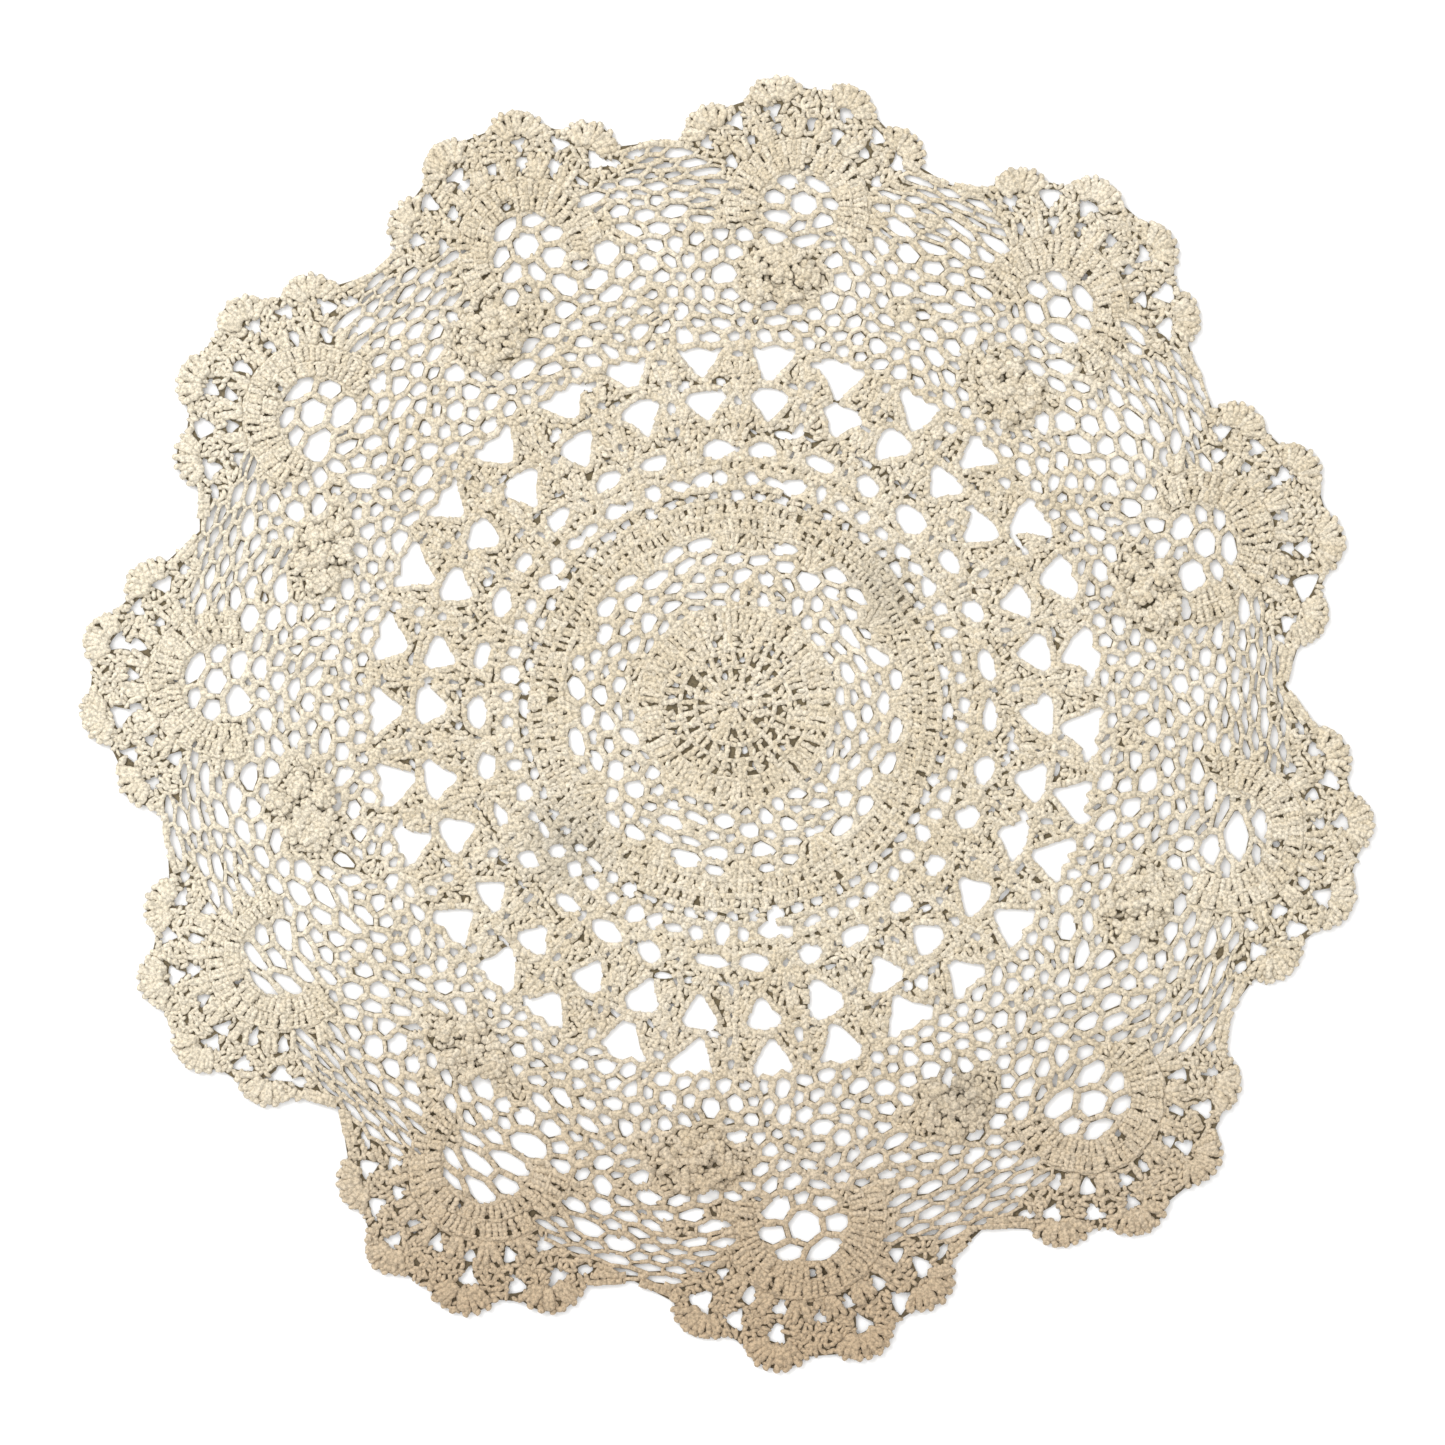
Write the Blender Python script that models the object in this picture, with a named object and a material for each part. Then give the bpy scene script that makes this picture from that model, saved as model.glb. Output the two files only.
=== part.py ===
"""Round crocheted doily lying flat: one openwork sheet with eleven scallops.

Sizes are in metres and angles in degrees, clockwise from +Y as seen from above.
The underside is flat at z = 0, below the middle of the centre medallion.
"""

import math
from typing import NamedTuple

import bmesh
import bpy
from mathutils import Vector
from mathutils.geometry import delaunay_2d_cdt

MM = 0.001

# Thickness of the work, from the open net to the heaped shells.
NET_THICK = 1.3 * MM
EDGE_THICK = 1.5 * MM
BAND_THICK = 2.1 * MM
SHELL_THICK = 2.5 * MM
ROSE_THICK = 3.0 * MM

# The rounds lean a little and sag towards -Y as they grow, as hand work does.
LEAN_DEG = 1.4
LEAN_MEAN_DEG = 0.4
DRIFT = 1.4 * MM
DRIFT_RADIUS = 110.0 * MM
DRIFT_POWER = 2.6

# Fan band: thirty columns of shells with three gaps stacked between each two.
FAN_COUNT = 30
FAN_FIRST_DEG = 6.2
FAN_PITCH_DEG = 360.0 / FAN_COUNT
COLUMN_RADII = (87.0 * MM, 101.0 * MM, 113.5 * MM)

# Scallops: half width and height from the eye of a scallop of middling size.
SCALLOP_HALF = 51.0 * MM
SCALLOP_RISE = 41.0 * MM
ARCH_DROP = 3.0 * MM
ARCH_RADIUS = 19.5 * MM
ARCH_DEGS = (-84.0, -56.0, -28.0, 0.0, 28.0, 56.0, 84.0)

# Roses: heaps of seven shells, in rows of two, three and two.
ROSE_ROWS = (2, 3, 2)
ROSE_STEP = 8.6 * MM
ROSE_ROW_STEP = 6.6 * MM
ROSE_REACH = 1.65

# Two points closer than this are one.
SAME_POINT = 1e-7


class GapRound(NamedTuple):
    """One round of like gaps; pair_deg parts each gap into two that far apart."""

    radius: float
    count: int
    first_deg: float
    pair_deg: float
    across: float
    out: float
    corners: tuple


class RaisedRound(NamedTuple):
    """A band of close stitches, thicker than the net on either side of it."""

    radius: float
    count: int
    thick: float


class Scallop(NamedTuple):
    """One scallop: its eye, its tip, and the notch after it."""

    axis_deg: float
    eye: float
    tip: float
    notch_deg: float
    notch: float


class LocalGap(NamedTuple):
    """A gap of a scallop, placed from its eye, with its twin on the other side."""

    side: float
    out: float
    across: float
    high: float
    turn_deg: float
    corners: tuple
    twin: bool


class Lump(NamedTuple):
    """A big shell of the edging, as the arc that it adds to the outline."""

    side: float
    out: float
    radius: float
    start_deg: float
    end_deg: float
    steps: int


class Rose(NamedTuple):
    """The middle of a raised heap of shells."""

    degrees: float
    radius: float


def oval(corners):
    """Corners of a round gap, as fractions of its width and height."""
    turns = [(k + 0.5) * 2.0 * math.pi / corners for k in range(corners)]
    return tuple((0.5 * math.cos(turn), 0.5 * math.sin(turn)) for turn in turns)


# Fractions of a gap's width and height, anticlockwise, pointing to the centre.
FAN_GAP = ((-0.5, 0.3), (-0.11, -0.5), (0.11, -0.5), (0.5, 0.3), (0.32, 0.5), (-0.32, 0.5))
WEDGE_GAP = ((-0.5, 0.45), (-0.1, -0.5), (0.15, -0.5), (0.5, 0.4))

GAP_ROUNDS = (
    #        radius       count      first deg      pair  across     out        corners
    GapRound(40.6 * MM, 12, 14.2, 11.2, 4.6 * MM, 4.6 * MM, oval(5)),
    GapRound(71.5 * MM, 2 * FAN_COUNT, FAN_FIRST_DEG - 3.0, 0.0, 5.8 * MM, 4.2 * MM, oval(5)),
    GapRound(81.0 * MM, FAN_COUNT, FAN_FIRST_DEG, 0.0, 9.2 * MM, 5.2 * MM, oval(6)),
    GapRound(95.4 * MM, FAN_COUNT, FAN_FIRST_DEG, 0.0, 10.4 * MM, 9.4 * MM, FAN_GAP),
    GapRound(110.2 * MM, FAN_COUNT, FAN_FIRST_DEG, 0.0, 11.2 * MM, 10.4 * MM, FAN_GAP),
)

RAISED_ROUNDS = (
    #           radius     count  thickness
    RaisedRound(8.0 * MM, 8, BAND_THICK),
    RaisedRound(20.5 * MM, 12, NET_THICK),
    RaisedRound(27.0 * MM, 20, BAND_THICK),
    RaisedRound(34.0 * MM, 20, NET_THICK),
    RaisedRound(46.5 * MM, 24, NET_THICK),
    RaisedRound(53.5 * MM, 24, BAND_THICK),
    RaisedRound(61.5 * MM, 30, BAND_THICK),
    RaisedRound(66.5 * MM, 30, EDGE_THICK),
    RaisedRound(119.5 * MM, 30, NET_THICK),
)

SCALLOPS = (
    #       axis deg  eye         tip         notch deg  notch
    Scallop(7.4, 159.1 * MM, 197.8 * MM, 22.5, 178.0 * MM),
    Scallop(39.0, 161.6 * MM, 201.6 * MM, 55.0, 179.9 * MM),
    Scallop(70.8, 156.2 * MM, 198.5 * MM, 88.0, 174.2 * MM),
    Scallop(104.3, 162.5 * MM, 204.1 * MM, 121.5, 184.0 * MM),
    Scallop(138.0, 167.6 * MM, 210.4 * MM, 154.5, 183.0 * MM),
    Scallop(172.4, 165.4 * MM, 209.5 * MM, 190.0, 184.9 * MM),
    Scallop(209.2, 165.1 * MM, 210.1 * MM, 224.5, 178.3 * MM),
    Scallop(241.0, 164.4 * MM, 207.0 * MM, 256.5, 184.6 * MM),
    Scallop(272.7, 162.9 * MM, 205.4 * MM, 288.0, 178.0 * MM),
    Scallop(304.8, 160.7 * MM, 203.5 * MM, 320.0, 178.0 * MM),
    Scallop(335.5, 158.1 * MM, 199.4 * MM, 351.5, 179.9 * MM),
)

SCALLOP_GAPS = (
    #        side       out        across    high      turn   corners    twin
    LocalGap(0.0 * MM, 0.0 * MM, 9.4 * MM, 7.4 * MM, 0.0, oval(8), False),
    LocalGap(5.6 * MM, 8.8 * MM, 6.8 * MM, 6.4 * MM, 0.0, oval(6), True),
    LocalGap(12.9 * MM, 2.6 * MM, 9.6 * MM, 4.6 * MM, -24.0, oval(6), True),
    LocalGap(11.9 * MM, 29.3 * MM, 5.6 * MM, 5.2 * MM, -20.0, WEDGE_GAP, True),
    LocalGap(23.4 * MM, 24.6 * MM, 6.6 * MM, 5.4 * MM, -40.0, WEDGE_GAP, True),
    LocalGap(31.8 * MM, 16.6 * MM, 6.8 * MM, 5.2 * MM, -58.0, WEDGE_GAP, True),
)

LUMPS = (
    #    side       out        radius    start  end    steps
    Lump(-30.2 * MM, 18.9 * MM, 10.7 * MM, -108.0, 20.0, 6),
    Lump(-11.3 * MM, 30.6 * MM, 10.9 * MM, -82.0, 42.0, 6),
    Lump(11.3 * MM, 30.6 * MM, 10.9 * MM, -42.0, 82.0, 6),
    Lump(30.2 * MM, 18.9 * MM, 10.7 * MM, -20.0, 108.0, 6),
)

ROSES = (
    #    degrees  radius
    Rose(5.8, 137.0 * MM),
    Rose(40.9, 132.3 * MM),
    Rose(74.8, 133.6 * MM),
    Rose(116.3, 141.4 * MM),
    Rose(151.4, 143.6 * MM),
    Rose(184.7, 144.3 * MM),
    Rose(217.4, 137.0 * MM),
    Rose(256.0, 139.2 * MM),
    Rose(290.0, 137.0 * MM),
    Rose(326.8, 139.2 * MM),
)


def at_angle(radius, degrees):
    """Point at a distance and a clockwise angle from +Y."""
    turn = math.radians(degrees)
    return Vector((radius * math.sin(turn), radius * math.cos(turn)))


def in_rounds(radius, degrees):
    """Point of a round, with the lean and drift of the hand work."""
    lean = LEAN_MEAN_DEG + LEAN_DEG * math.sin(math.radians(degrees))
    point = at_angle(radius, degrees + lean)
    point.y -= DRIFT * (radius / DRIFT_RADIUS) ** DRIFT_POWER
    return point


def in_scallop(index, side, out):
    """Point of a scallop, from its eye, stretched to that scallop's own size."""
    scallop = SCALLOPS[index]
    before = SCALLOPS[index - 1]
    if side < 0.0:
        notch_deg, notch = before.notch_deg, before.notch
    else:
        notch_deg, notch = scallop.notch_deg, scallop.notch
    swing = math.radians(notch_deg - scallop.axis_deg)
    wide = abs(notch * math.sin(swing)) / SCALLOP_HALF
    tall = (scallop.tip - scallop.eye) / SCALLOP_RISE
    outward = at_angle(1.0, scallop.axis_deg)
    sideways = Vector((outward.y, -outward.x))
    return outward * (scallop.eye + out * tall) + sideways * side * wide


def round_gaps():
    """Loops of the gaps that repeat all the way round."""
    loops = []
    for row in GAP_ROUNDS:
        halves = (-0.5, 0.5) if row.pair_deg else (0.0,)
        for step in range(row.count):
            for half in halves:
                middle = row.first_deg + step * 360.0 / row.count + half * row.pair_deg
                swing = math.degrees(row.across / row.radius)
                loops.append([
                    in_rounds(row.radius + high * row.out, middle + wide * swing)
                    for wide, high in row.corners
                ])
    return loops


def scallop_gaps(index):
    """Loops of the eye, the petals round it and the gaps under the edging."""
    loops = []
    for gap in SCALLOP_GAPS:
        for hand in (1.0, -1.0) if gap.twin else (1.0,):
            turn = math.radians(gap.turn_deg)
            loop = []
            for wide, high in gap.corners:
                along = wide * gap.across
                up = high * gap.high
                side = gap.side + along * math.cos(turn) - up * math.sin(turn)
                out = gap.out + along * math.sin(turn) + up * math.cos(turn)
                loop.append(in_scallop(index, hand * side, out))
            loops.append(loop)
    return loops


def outer_edge():
    """Outline of the doily: four lumps to a scallop and the notch after it."""
    loop = []
    for index, scallop in enumerate(SCALLOPS):
        for lump in LUMPS:
            for step in range(lump.steps + 1):
                degrees = lump.start_deg + (lump.end_deg - lump.start_deg) * step / lump.steps
                reach = at_angle(lump.radius, degrees)
                loop.append(in_scallop(index, lump.side + reach.x, lump.out + reach.y))
        loop.append(at_angle(scallop.notch, scallop.notch_deg))
    return loop


def rose_points(rose):
    """Tops of a rose's seven shells and the hollows between and around them."""
    outward = at_angle(1.0, rose.degrees)
    sideways = Vector((outward.y, -outward.x))
    middle = outward * rose.radius
    points = []
    for row, shells in enumerate(ROSE_ROWS):
        out = (row - 1) * ROSE_ROW_STEP
        for shell in range(shells):
            side = (shell - 0.5 * (shells - 1)) * ROSE_STEP
            points.append((middle + sideways * side + outward * out, ROSE_THICK))
    hollow = ROSE_STEP / math.sqrt(3.0)
    for sixth in range(6):
        turn = math.radians(60.0 * sixth + 30.0)
        near = Vector((math.cos(turn), math.sin(turn)))
        points.append((middle + sideways * near.x * hollow + outward * near.y * hollow, BAND_THICK))
    for twelfth in range(12):
        turn = math.radians(30.0 * twelfth)
        side = ROSE_REACH * ROSE_STEP * math.cos(turn)
        out = ROSE_REACH * ROSE_ROW_STEP * math.sin(turn)
        points.append((middle + sideways * side + outward * out, NET_THICK))
    return points


def relief():
    """Points inside the sheet and the thickness of the work at each."""
    points = []
    for band in RAISED_ROUNDS:
        for step in range(band.count):
            points.append((in_rounds(band.radius, step * 360.0 / band.count), band.thick))
    for column in range(FAN_COUNT):
        degrees = FAN_FIRST_DEG + (column + 0.5) * FAN_PITCH_DEG
        for radius in COLUMN_RADII:
            points.append((in_rounds(radius, degrees), SHELL_THICK))
    for rose in ROSES:
        points.extend(rose_points(rose))
    for index in range(len(SCALLOPS)):
        for degrees in ARCH_DEGS:
            reach = at_angle(ARCH_RADIUS, degrees)
            points.append((in_scallop(index, reach.x, reach.y - ARCH_DROP), BAND_THICK))
        for lump in LUMPS:
            swell = at_angle(0.45 * lump.radius, 0.5 * (lump.start_deg + lump.end_deg))
            points.append((in_scallop(index, lump.side + swell.x, lump.out + swell.y), SHELL_THICK))
    return points


def anticlockwise(loop):
    """The loop's points in anticlockwise order, seen from above."""
    turns = zip(loop, loop[1:] + loop[:1])
    area = sum(a.x * b.y - b.x * a.y for a, b in turns)
    return loop if area > 0.0 else loop[::-1]


def flat_layer(edge, gaps, raised):
    """Fill the edge in the flat, leave its gaps open, and keep each point's thickness."""
    flat_points = []
    thick = []
    loops = []
    for loop, loop_thick in [(edge, EDGE_THICK)] + [(gap, EDGE_THICK) for gap in gaps]:
        ordered = anticlockwise(loop)
        loops.append(list(range(len(flat_points), len(flat_points) + len(ordered))))
        flat_points.extend(ordered)
        thick.extend([loop_thick] * len(ordered))
    for point, point_thick in raised:
        flat_points.append(point)
        thick.append(point_thick)
    filled = delaunay_2d_cdt(flat_points, [], loops, 1, SAME_POINT, True)
    points, _, faces, from_points, _, from_loops = filled
    layer = bmesh.new()
    corners = [layer.verts.new((point.x, point.y, 0.0)) for point in points]
    thickness = [thick[origins[0]] if origins else NET_THICK for origins in from_points]
    for face, origins in zip(faces, from_loops):
        if list(origins) == [0]:
            layer.faces.new([corners[index] for index in reversed(face)])
    for corner in [corner for corner in layer.verts if not corner.link_faces]:
        layer.verts.remove(corner)
    kept = [value for corner, value in zip(corners, thickness) if corner.is_valid]
    return layer, kept


def thicken(layer, thickness):
    """Raise a copy of the flat layer by its thickness and wall its edges."""
    layer.verts.ensure_lookup_table()
    height_at = {
        (vert.co.x, vert.co.y): height
        for vert, height in zip(layer.verts, thickness)
    }
    grown = bmesh.ops.extrude_face_region(layer, geom=layer.faces[:], use_keep_orig=True)
    for item in grown["geom"]:
        if isinstance(item, bmesh.types.BMVert):
            item.co.z = height_at[item.co.x, item.co.y]
    bmesh.ops.recalc_face_normals(layer, faces=layer.faces[:])
    bmesh.ops.triangulate(layer, faces=layer.faces[:])


def cotton():
    """Ecru mercerised crochet cotton: pale, soft and hardly shiny."""
    material = bpy.data.materials.new("crochet_cotton")
    material.use_nodes = True
    shader = material.node_tree.nodes["Principled BSDF"]
    shader.inputs["Base Color"].default_value = (0.72, 0.62, 0.44, 1.0)
    shader.inputs["Roughness"].default_value = 0.85
    shader.inputs["Metallic"].default_value = 0.0
    return material


def build_doily(collection):
    """Model the doily as one closed openwork sheet."""
    gaps = round_gaps()
    for index in range(len(SCALLOPS)):
        gaps.extend(scallop_gaps(index))
    layer, thickness = flat_layer(outer_edge(), gaps, relief())
    thicken(layer, thickness)
    mesh = bpy.data.meshes.new("doily")
    layer.to_mesh(mesh)
    layer.free()
    mesh.materials.append(cotton())
    mesh.shade_smooth()
    mesh.set_sharp_from_angle(angle=math.radians(40.0))
    doily = bpy.data.objects.new("doily", mesh)
    collection.objects.link(doily)


def main():
    """Clear the scene and build the doily in its own collection."""
    for item in list(bpy.data.objects):
        bpy.data.objects.remove(item, do_unlink=True)
    collection = bpy.data.collections.new("lace_doily")
    bpy.context.scene.collection.children.link(collection)
    build_doily(collection)


main()
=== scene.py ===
"""Crocheted lace doily: its ground, its stitches and its cotton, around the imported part.

Angles are in degrees, clockwise from +Y as seen from above. Distances are in metres.
"""

import logging
import math
from abc import ABC, abstractmethod
from collections.abc import Callable
from dataclasses import dataclass, field
from enum import Enum

import bmesh
import bpy
import numpy as np
from mathutils import Matrix, Vector
from mathutils.geometry import delaunay_2d_cdt


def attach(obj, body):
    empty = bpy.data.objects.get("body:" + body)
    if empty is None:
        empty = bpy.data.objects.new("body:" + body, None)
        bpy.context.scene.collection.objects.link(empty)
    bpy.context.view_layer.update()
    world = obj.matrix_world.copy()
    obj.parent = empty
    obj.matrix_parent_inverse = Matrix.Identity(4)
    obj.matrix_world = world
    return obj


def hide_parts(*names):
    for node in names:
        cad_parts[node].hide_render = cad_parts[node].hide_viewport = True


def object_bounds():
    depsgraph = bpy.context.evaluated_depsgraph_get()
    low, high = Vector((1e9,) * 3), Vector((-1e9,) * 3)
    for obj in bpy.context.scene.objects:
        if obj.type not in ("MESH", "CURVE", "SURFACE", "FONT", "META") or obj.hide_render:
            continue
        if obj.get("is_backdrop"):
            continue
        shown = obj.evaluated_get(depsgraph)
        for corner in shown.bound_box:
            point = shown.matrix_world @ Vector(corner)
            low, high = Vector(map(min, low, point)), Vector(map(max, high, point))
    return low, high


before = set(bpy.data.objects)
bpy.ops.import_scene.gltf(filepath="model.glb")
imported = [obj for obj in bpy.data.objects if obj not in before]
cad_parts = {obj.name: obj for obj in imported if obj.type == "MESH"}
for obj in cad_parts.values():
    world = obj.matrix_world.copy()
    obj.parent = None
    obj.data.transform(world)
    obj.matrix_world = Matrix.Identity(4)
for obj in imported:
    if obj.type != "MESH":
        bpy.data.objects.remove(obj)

MM = 0.001
PHOTO_SIDE_PX = 1445
PIXEL = 0.315 * MM
DOILY_MIDDLE_PX = (735.0, 705.0)
SEED = 1907
BODY = "root"
NODE = "doily"
LOG = logging.getLogger("lace_doily")

# The cloth's middle layer lies this high above the table.
MID_HEIGHT = 0.95 * MM
# The arch of each scallop is centred this far below its eye.
ARCH_DROP = 2.6 * MM
# Corners closer together than this are one.
SAME_POINT = 1e-7

Array = np.ndarray
Numbers = np.ndarray | float
Random = np.random.Generator


def spoke(degrees: Numbers) -> Array:
    """Unit vectors at clockwise angles from +Y."""
    turn = np.radians(np.asarray(degrees, dtype=float))
    return np.stack([np.sin(turn), np.cos(turn)], -1)


def heading(vectors: Array) -> Array:
    """Clockwise angles from +Y, in degrees, of plane vectors."""
    return np.degrees(np.arctan2(vectors[..., 0], vectors[..., 1]))


def rightward(vectors: Array) -> Array:
    """Plane vectors turned a quarter clockwise."""
    return np.stack([vectors[..., 1], -vectors[..., 0]], -1)


def in_turn(points: Array, middle: Array) -> Array:
    """Which order takes points anticlockwise round a middle."""
    away = points - middle
    return np.argsort(np.arctan2(away[:, 1], away[:, 0]))


class Stitch(Enum):
    """The few shapes that all the crochet is made of."""

    POST = "post"
    CAPPED_POST = "capped_post"
    LINK = "link"
    KNOT = "knot"
    TUCK = "tuck"
    KNOB = "knob"


@dataclass(frozen=True)
class Lobe:
    """One loop of thread as it shows in a stitch, in millimetres: an egg or a straight cord, turned."""

    side: float
    along: float
    up: float
    wide: float
    long: float
    high: float
    turn_deg: float
    cord: bool = False


LINK_WIDE = 2.3 * MM
KNOT_WIDE = 2.6 * MM
POST_LOBES = (
    Lobe(0.05, 0.75, 0.0, 1.95, 3.1, 1.3, 14.0),
    Lobe(-0.05, 2.3, 0.05, 2.0, 3.4, 1.3, 20.0),
    Lobe(0.05, 3.85, 0.0, 2.0, 3.1, 1.3, 12.0),
)
CAP_LOBES = (
    Lobe(-0.5, 4.8, 0.1, 1.5, 2.1, 1.3, 68.0),
    Lobe(0.5, 4.85, 0.05, 1.5, 2.1, 1.3, 108.0),
)
LOBES = {
    Stitch.POST: POST_LOBES,
    Stitch.CAPPED_POST: POST_LOBES + CAP_LOBES,
    Stitch.LINK: (Lobe(0.0, 0.0, 0.0, LINK_WIDE / MM, 2.6, 1.3, 6.0, True),),
    Stitch.KNOT: (Lobe(0.0, 0.0, 0.0, KNOT_WIDE / MM, 3.0, 1.4, 0.0),),
    Stitch.TUCK: (Lobe(0.0, 0.0, 0.0, 1.9, 4.0, 1.3, 0.0),),
    Stitch.KNOB: (Lobe(-0.45, -0.3, 0.0, 2.3, 2.9, 1.6, 35.0), Lobe(0.5, 0.35, 0.1, 2.2, 2.8, 1.6, -30.0)),
}

# Lengths that the lobes above are drawn for, which each laid stitch is stretched from.
DRAWN_LENGTH = {
    Stitch.POST: 4.7 * MM,
    Stitch.CAPPED_POST: 5.3 * MM,
    Stitch.LINK: 2.1 * MM,
    Stitch.KNOT: 1.9 * MM,
    Stitch.TUCK: 2.6 * MM,
    Stitch.KNOB: 2.6 * MM,
}
CORD_SIDES = 6


@dataclass(frozen=True)
class StitchShape:
    """A stitch's small mesh, which its many copies are joined from."""

    points: Array
    faces: Array

    @staticmethod
    def model(stitch: Stitch) -> "StitchShape":
        """Shape a stitch from its lobes.

        Args:
            stitch: Which stitch to shape.

        Returns:
            The stitch, lying along +Y with its face up.
        """
        shape = bmesh.new()
        half = 0.5 * MM
        for lobe in LOBES[stitch]:
            if lobe.cord:
                verts = bmesh.ops.create_cone(
                    shape, cap_ends=True, cap_tris=False, segments=CORD_SIDES,
                    radius1=half, radius2=half, depth=2.0 * half,
                )["verts"]
                lay_down = Matrix.Rotation(math.radians(90.0), 3, "X")
                bmesh.ops.rotate(shape, cent=(0, 0, 0), matrix=lay_down, verts=verts)
            else:
                verts = bmesh.ops.create_icosphere(shape, subdivisions=1, radius=half)["verts"]
            bmesh.ops.scale(shape, vec=(lobe.wide, lobe.long, lobe.high), verts=verts)
            turn = Matrix.Rotation(-math.radians(lobe.turn_deg), 3, "Z")
            bmesh.ops.rotate(shape, cent=(0, 0, 0), matrix=turn, verts=verts)
            place = Vector((lobe.side, lobe.along, lobe.up)) * MM
            bmesh.ops.translate(shape, vec=place, verts=verts)
        bmesh.ops.triangulate(shape, faces=shape.faces[:])
        shape.verts.index_update()
        points = np.array([vert.co[:] for vert in shape.verts])
        faces = np.array([[vert.index for vert in face.verts] for face in shape.faces])
        shape.free()
        return StitchShape(points, faces)


@dataclass(frozen=True)
class HandLie:
    """How hand-made rounds lie on the table: leaning, drifted and wavy."""

    lean_deg: float = 1.4
    mean_lean_deg: float = 0.4
    drift: float = 1.4 * MM
    drift_radius: float = 110.0 * MM
    drift_power: float = 2.6
    wave_high: float = 0.4 * MM
    full_radius: float = 205.0 * MM
    tug: float = 1.5 * MM
    tug_wave: float = 9.0 * MM

    def place(self, radius: Numbers, degrees: Numbers) -> Array:
        """Points of the inner rounds.

        Args:
            radius: Distances from the middle.
            degrees: Clockwise angles.

        Returns:
            Points in the plane, one row each.
        """
        radius, degrees = np.broadcast_arrays(np.asarray(radius, float), np.asarray(degrees, float))
        lean = self.mean_lean_deg + self.lean_deg * np.sin(np.radians(degrees))
        points = spoke(degrees + lean) * radius[..., None]
        points[..., 1] -= self.drift * (radius / self.drift_radius) ** self.drift_power
        return points

    def wave(self, points: Array) -> Array:
        """Height of the cloth's soft waves, growing from the middle to the edge.

        Args:
            points: Points in the plane.

        Returns:
            The height of each point above a perfectly flat cloth.
        """
        x, y = points[..., 0] / MM, points[..., 1] / MM
        reach = np.clip(np.hypot(x, y) * MM / self.full_radius, 0.0, 1.0)
        # One ripple to each of the eleven scallops, and two that cross it, some 60 to 130 mm long.
        ripple = (
            0.45 * np.sin(11.0 * np.arctan2(x, y) + 0.8)
            + 0.30 * np.sin(x / 17.0 + 1.7) * np.sin(y / 21.0 + 0.4)
            + 0.25 * np.sin(x / 9.0 - y / 13.0)
        )
        return self.wave_high * reach**2 * (1.0 + ripple)

    def tugged(self, points: Array) -> Array:
        """Shift points of a net as wear has tugged it, here closer and there wider.

        Args:
            points: Points in the plane.

        Returns:
            The shifted points.
        """
        # Sines of sines, so that no two places are tugged alike.
        x, y = points[..., 0] / self.tug_wave, points[..., 1] / self.tug_wave
        across = np.sin(x + 1.3 * np.sin(0.7 * y)) + 0.7 * np.sin(1.9 * y - 0.8 * x + 2.0)
        down = np.sin(1.1 * y + 1.7 + np.sin(0.6 * x)) + 0.7 * np.sin(1.7 * x + 0.9 * y)
        return points + self.tug * 0.6 * np.stack([across, down], -1)


LIE = HandLie()


@dataclass(frozen=True)
class Scallop:
    """One scallop: its axis, eye and tip, and the notch after it."""

    axis_deg: float
    eye: float
    tip: float
    notch_deg: float
    notch: float


SCALLOPS = (
    #       axis deg  eye         tip         notch deg  notch
    Scallop(7.4, 159.1 * MM, 197.8 * MM, 22.5, 178.0 * MM),
    Scallop(39.0, 161.6 * MM, 201.6 * MM, 55.0, 179.9 * MM),
    Scallop(70.8, 156.2 * MM, 198.5 * MM, 88.0, 174.2 * MM),
    Scallop(104.3, 162.5 * MM, 204.1 * MM, 121.5, 184.0 * MM),
    Scallop(138.0, 167.6 * MM, 210.4 * MM, 154.5, 183.0 * MM),
    Scallop(172.4, 165.4 * MM, 209.5 * MM, 190.0, 184.9 * MM),
    Scallop(209.2, 165.1 * MM, 210.1 * MM, 224.5, 178.3 * MM),
    Scallop(241.0, 164.4 * MM, 207.0 * MM, 256.5, 184.6 * MM),
    Scallop(272.7, 162.9 * MM, 205.4 * MM, 288.0, 178.0 * MM),
    Scallop(304.8, 160.7 * MM, 203.5 * MM, 320.0, 178.0 * MM),
    Scallop(335.5, 158.1 * MM, 199.4 * MM, 351.5, 179.9 * MM),
)


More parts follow.
